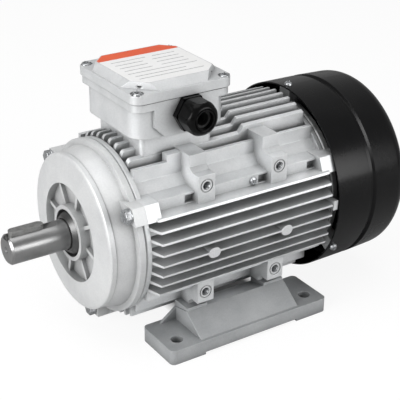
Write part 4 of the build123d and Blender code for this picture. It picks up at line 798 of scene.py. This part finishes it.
cowl_screw_mesh = pan_screw("cowl_screw", radius=3.4, height=2.4, shank=2.4, length=8.0)
cowl_places = [
    pointing(on_circle(COWL_SCREW_X, COWL_RADIUS, a), outward(a), a) for a in (90, 210, 330)
]
place_all("cowl_pan_screws", cowl_screw_mesh, cowl_places, **plated, replaced="cowl_screws")

earth_mesh = pan_screw("earth_pan_screw", radius=3.2, height=2.4, shank=1.9, length=6.5)
earth_place = [pointing(EARTH_POINT, (0, -1, 0), 35)]
place_all("earth_pan_screw", earth_mesh, earth_place, **plated, replaced="earth_screw")

# %% [markdown]
# ## Threads in the fixing bosses
#
# The bosses on the corner rails are tapped, and the threads catch the light inside the dark holes.
# A true thread is a helix, which would need a screw form and a run-out at each end. Closed rings look
# the same at this size, so a zigzag line is spun round the hole's axis, with the cone that the drill
# leaves at the bottom. The record of the CAD model says where the bosses are.

# %% Threads in the fixing bosses
bosses = mounts["side_bosses_gland"]
BOSS_X = bosses["dims"]["spacing_x_mm"] / 2
BOSS_Y = abs(bosses["pos_m"][1]) / MM
BOSS_Z = bosses["dims"]["spacing_y_mm"] / 2
THREAD_RADIUS, THREAD_DEPTH = 3.38, 0.42
HALF_PITCH = 0.55


def tapped_hole(bm):
    """Thread rings down the hole, and the cone at its bottom."""
    zigzag = [
        (THREAD_RADIUS - THREAD_DEPTH * (step % 2), -0.5 - HALF_PITCH * step) for step in range(18)
    ]
    lathe(bm, zigzag, segments=32)
    lathe(bm, [(0.01, -10.2), (1.6, -9.6), (2.9, -9.4)], segments=32)


thread_places = [
    pointing((sx * BOSS_X, sy * BOSS_Y, AXLE_Z + sz * BOSS_Z), (0, sy, 0))
    for sx in (-1, 1)
    for sy in (-1, 1)
    for sz in (-1, 1)
]
place_all("boss_threads", template("tapped_hole", tapped_hole), thread_places, **plated)

# %% [markdown]
# ## Cap of the cable gland
#
# The gland's cap nut is a moulded hexagon with rounded corners that closes in a dome and ends in a
# small ring round the cable hole. The faces where its flats run out into the dome would be hard to
# model by hand. It is easy as on a lathe: a rounded hexagon bar is cut down to a turned dome, and then
# bored.

# %% Cap of the cable gland
CAP_ACROSS, CAP_BASE, CAP_LENGTH, CAP_CORNER = 25.0, 5.0, 17.0, 3.0
CABLE_HOLE = 6.8
BOX_WALL_Y = -43.4
gland_x, _, gland_z = (value / MM for value in mounts["gland_mouth"]["pos_m"])
ROUND_STEPS = 64


def cap_bar(bm):
    """A hexagon bar with its long corners rounded."""
    edges = hexagon_bar(bm, CAP_ACROSS, CAP_BASE, CAP_LENGTH, spin=30)
    soften(bm, upright(edges), CAP_CORNER, segments=6)


def cap_dome(bm):
    """The turned form that the bar is cut down to: skirt, dome, groove and front ring."""
    skirt = [(0.01, 5.4), (14.3, 5.4), (14.6, 6.2), (14.6, 12.0)]
    shoulder = [(14.2, 15.0), (13.4, 17.4), (12.1, 19.4), (10.6, 20.8), (9.6, 21.3), (9.0, 21.4)]
    groove = [(8.9, 20.9), (8.5, 20.7), (8.2, 21.0)]
    ring = [(8.0, 21.5), (7.3, 21.6), (6.9, 21.3), (CABLE_HOLE, 20.6)]
    inside = [(CABLE_HOLE, 18.5), (0.01, 18.5)]
    lathe(bm, skirt + shoulder + groove + ring + inside, ROUND_STEPS)


def cap_hole(bm):
    """The way in for the cable."""
    bore = [(0.01, 4.0), (CABLE_HOLE, 4.0), (CABLE_HOLE, 19.5), (0.01, 19.5)]
    lathe(bm, bore, ROUND_STEPS)


cap_mesh = cut_to(template("cap_bar", cap_bar), template("cap_dome", cap_dome), "INTERSECT")
cap_mesh = cut_to(cap_mesh, template("cap_hole", cap_hole), "DIFFERENCE")
gland_place = [pointing((gland_x, BOX_WALL_Y, gland_z), (0, -1, 0))]
place_all("gland_domed_cap", cap_mesh, gland_place, nylon, "motor_body", "black_nylon", "gland_cap_nut")

# %% [markdown]
# ## Label on the lid
#
# A printed label covers most of the lid: white, with cut corners and an orange band along one edge.
# It could be a picture on a plane, but then its corners would need transparency. A thin plate has real
# corners: a flat cube, its upright edges chamfered by one wide bevel, then cut along the band, so that
# each side of the cut takes its own colour. It is plastic film, smooth with a satin shine.

# %% Label on the lid
LABEL_SIDE, LABEL_THICKNESS, LABEL_CORNER = 70.6, 0.3, 9.6
BAND_Y = 22.0
FILM = {"grain": 0.5, "depth": 0.004}


def flat_bar(bm, place, size):
    """A cuboid with its middle and its size in millimetres."""
    middle = Matrix.Translation(Vector(place) * MM)
    sides = Matrix.Diagonal((*(Vector(size) * MM), 1))
    bmesh.ops.create_cube(bm, size=1.0, matrix=middle @ sides)


def label_plate(bm):
    """The plate with its cut corners, and an edge across it where the band starts."""
    flat_bar(bm, (BOX_X, 0, LID_TOP - 0.1), (LABEL_SIDE, LABEL_SIDE, LABEL_THICKNESS))
    soften(bm, upright(bm.edges), LABEL_CORNER, segments=1)
    bmesh.ops.bisect_plane(
        bm,
        geom=bm.verts[:] + bm.edges[:] + bm.faces[:],
        plane_co=(0, BAND_Y * MM, 0),
        plane_no=(0, 1, 0),
    )


label_white = moulded("label_white", "fcfcfb", "ffffff", roughness=0.35, **FILM, edge=0.05)
label_orange = moulded("label_orange", "ea5424", "f0602e", roughness=0.35, **FILM, edge=0.05)
unturned = [Matrix.Identity(4)]
plate = template("label_plate", label_plate)
label = place_all("lid_label", plate, unturned, label_white, "motor_body", "cast_aluminium")
label.data.materials.append(label_orange)
for face in label.data.polygons:
    if face.center.y > BAND_Y * MM:
        face.material_index = 1

# %% [markdown]
# ## Rules on the label
#
# Faint grey rules cover the white part of the label, like the lines of an empty form. They could be
# drawn in the shader, but as thin bars they stay sharp at any size. They stand 0.02 mm proud of the
# plate, just enough to keep their faces apart from its own.

# %% Rules on the label
RULE_WIDTH, RULE_THICKNESS, RULE_LIFT = 0.75, 0.06, 0.04
COLUMN_RULE = 24


def label_rules(bm):
    """A heading of three rules, three rows of two columns and a closing row."""
    rows = [(-26, 0, 56), (-20, -6, 44), (-13, 0, 60)]
    rows += [(y, x, COLUMN_RULE) for y in (-6, 1, 8) for x in (-17, 15)]
    rows += [(15, -14, 30), (15, 17, 20)]
    for y, x, length in rows:
        flat_bar(bm, (BOX_X + x, y, LID_TOP + RULE_LIFT), (length, RULE_WIDTH, RULE_THICKNESS))


label_grey = moulded("label_rule_grey", "8a8c8e", "989a9c", roughness=0.4, **FILM, edge=0.02)
rules = template("label_rules", label_rules)
place_all("lid_label_rules", rules, unturned, label_grey, "motor_body", "cast_aluminium")

# %% [markdown]
# ## Floor
#
# The motor stands on white, with a faint shadow round it and real darkness only under it. With no
# floor at all that shadow would be lost. So the floor is a pale matt surface for the light, but four
# fifths of what the camera sees of it is its own white glow. On a fixed patch between the feet that
# glow is darkened into a painted shadow, which stands in for the darkness under the motor. Ambient
# Occlusion could measure that darkness, but it made the shadow grainy. The floor reaches 6 m each way,
# so that its edge stays out of sight.

# %% Floor
FLOOR_REACH = 6.0
PATCH_X, PATCH_HALF_LENGTH, PATCH_HALF_WIDTH, PATCH_FADE = 12.0, 34.0, 42.0, 14.0
GLOW, GLOW_SHARE = 1.12, 0.8
# The patch is a painted shadow: the camera's glow is darkened to this colour there.
PAINTED_SHADOW_COLOUR = "3c3c3c"


def outside_painted_shadow(tree, place):
    """A value from 0 on the painted shadow to 1 outside it, which fades over its border."""
    shift = {0: place, 1: (-PATCH_X * MM, 0, 0)}
    middle = add(tree, "ShaderNodeVectorMath", shift, operation="ADD").outputs[0]
    side = add(tree, "ShaderNodeVectorMath", {0: middle}, operation="ABSOLUTE").outputs[0]
    apart = add(tree, "ShaderNodeSeparateXYZ", {0: side}).outputs
    fades = []
    for axis, half in (("X", PATCH_HALF_LENGTH), ("Y", PATCH_HALF_WIDTH)):
        border = {"From Min": half * MM, "From Max": (half + PATCH_FADE) * MM}
        fade = add(tree, "ShaderNodeMapRange", {"Value": apart[axis], **border})
        fades.append(fade.outputs["Result"])
    greater = add(tree, "ShaderNodeMath", {0: fades[0], 1: fades[1]}, operation="MAXIMUM")
    return greater.outputs[0]


def white_to_camera(name, colour, roughness):
    """A pale matt surface that the camera sees nearly white, with a painted shadow on the patch."""
    material, tree, shader, place = new_material(name)
    shader.inputs["Base Color"].default_value = colour
    shader.inputs["Roughness"].default_value = roughness
    tones = {"Color1": tint(PAINTED_SHADOW_COLOUR), "Color2": tint("ffffff")}
    outside = outside_painted_shadow(tree, place)
    # Painted shadow: on the patch the glow takes the dark colour.
    shade = add(tree, "ShaderNodeMixRGB", {"Fac": outside, **tones}).outputs["Color"]
    seen = add(tree, "ShaderNodeLightPath").outputs["Is Camera Ray"]
    share = add(tree, "ShaderNodeMath", {0: seen, 1: GLOW_SHARE}, operation="MULTIPLY").outputs[0]
    white = add(tree, "ShaderNodeEmission", {"Color": shade, "Strength": GLOW})
    both = {0: share, 1: shader.outputs[0], 2: white.outputs[0]}
    mixed = add(tree, "ShaderNodeMixShader", both)
    tree.links.new(mixed.outputs[0], tree.nodes["Material Output"].inputs["Surface"])
    return material


floor_mesh = bpy.data.meshes.new("floor")
bm = bmesh.new()
bmesh.ops.create_grid(bm, x_segments=1, y_segments=1, size=FLOOR_REACH)
bm.to_mesh(floor_mesh)
bm.free()
floor = bpy.data.objects.new("floor", floor_mesh)
bpy.context.scene.collection.objects.link(floor)
floor_mesh.materials.append(white_to_camera("pale_floor", tint("cacaca"), 0.9))
print("floor faces:", len(floor_mesh.polygons))

# %% [markdown]
# ## Lights
#
# In the photograph the brightest light comes from the left, like a window, a weaker one fills the
# shaded side, and the tops of the fins show one above. Lamps that shine from a point would draw hard
# shadows that it doesn't have. Area lights about a metre wide give soft ones and long highlights along
# the fins. Their strengths were found by adding up renders that had one light each.


# %% Lights
def soft_light(name, place, target, width, height, watts):
    """An area light that points from its place to its target, all in metres and watts."""
    data = bpy.data.lights.new(name, "AREA")
    data.shape = "RECTANGLE"
    data.size = width
    data.size_y = height
    data.energy = watts
    light = bpy.data.objects.new(name, data)
    bpy.context.scene.collection.objects.link(light)
    light.location = place
    light.rotation_euler = (Vector(target) - Vector(place)).to_track_quat("-Z", "Y").to_euler()
    print(f"{name}: {watts} W")
    return light


MIDDLE = (0, 0, 0.1)
soft_light("window_light", (-1.6, -0.25, 0.65), MIDDLE, width=1.0, height=1.0, watts=25.0)
soft_light("side_light", (0.75, -1.4, 0.5), (0.05, 0, 0.1), width=0.9, height=0.7, watts=10.0)
soft_light("top_light", (-0.1, 0.1, 1.7), MIDDLE, width=1.6, height=1.6, watts=14.5)

# %% [markdown]
# ## Surroundings
#
# Round the motor there is a white backdrop, but metal that mirrored pure white everywhere would look
# like chalk. A world can't be both bright and dim, unless it asks what each ray is for. The camera
# sees the white backdrop, mirrored rays meet a middle grey, and all other light from it is weak, which
# leaves the shaping to the lights. The plain Standard view keeps white as white.

# %% Surroundings
BACKDROP, MIRRORED, AMBIENT = 1.0, 0.42, 0.16

world = bpy.data.worlds.new("studio")
bpy.context.scene.world = world
world.use_nodes = True
world_tree = world.node_tree
world_tree.nodes.clear()
ray = add(world_tree, "ShaderNodeLightPath").outputs
strengths = {"Value": ray["Is Glossy Ray"], "To Min": AMBIENT, "To Max": MIRRORED}
dim = add(world_tree, "ShaderNodeMapRange", strengths).outputs["Result"]
white = tint("ffffff")
surround = add(world_tree, "ShaderNodeBackground", {"Color": white, "Strength": dim})
backdrop = add(world_tree, "ShaderNodeBackground", {"Color": white, "Strength": BACKDROP})
views = {0: ray["Is Camera Ray"], 1: surround.outputs[0], 2: backdrop.outputs[0]}
sky = add(world_tree, "ShaderNodeMixShader", views)
add(world_tree, "ShaderNodeOutputWorld", {"Surface": sky.outputs[0]})
bpy.context.scene.view_settings.view_transform = "Standard"
print("surroundings:", world.name)

# %% [markdown]
# ## Finish
#
# Last, the view layer is updated, so that every place and turn set above takes effect.

# %% Finish
bpy.context.view_layer.update()
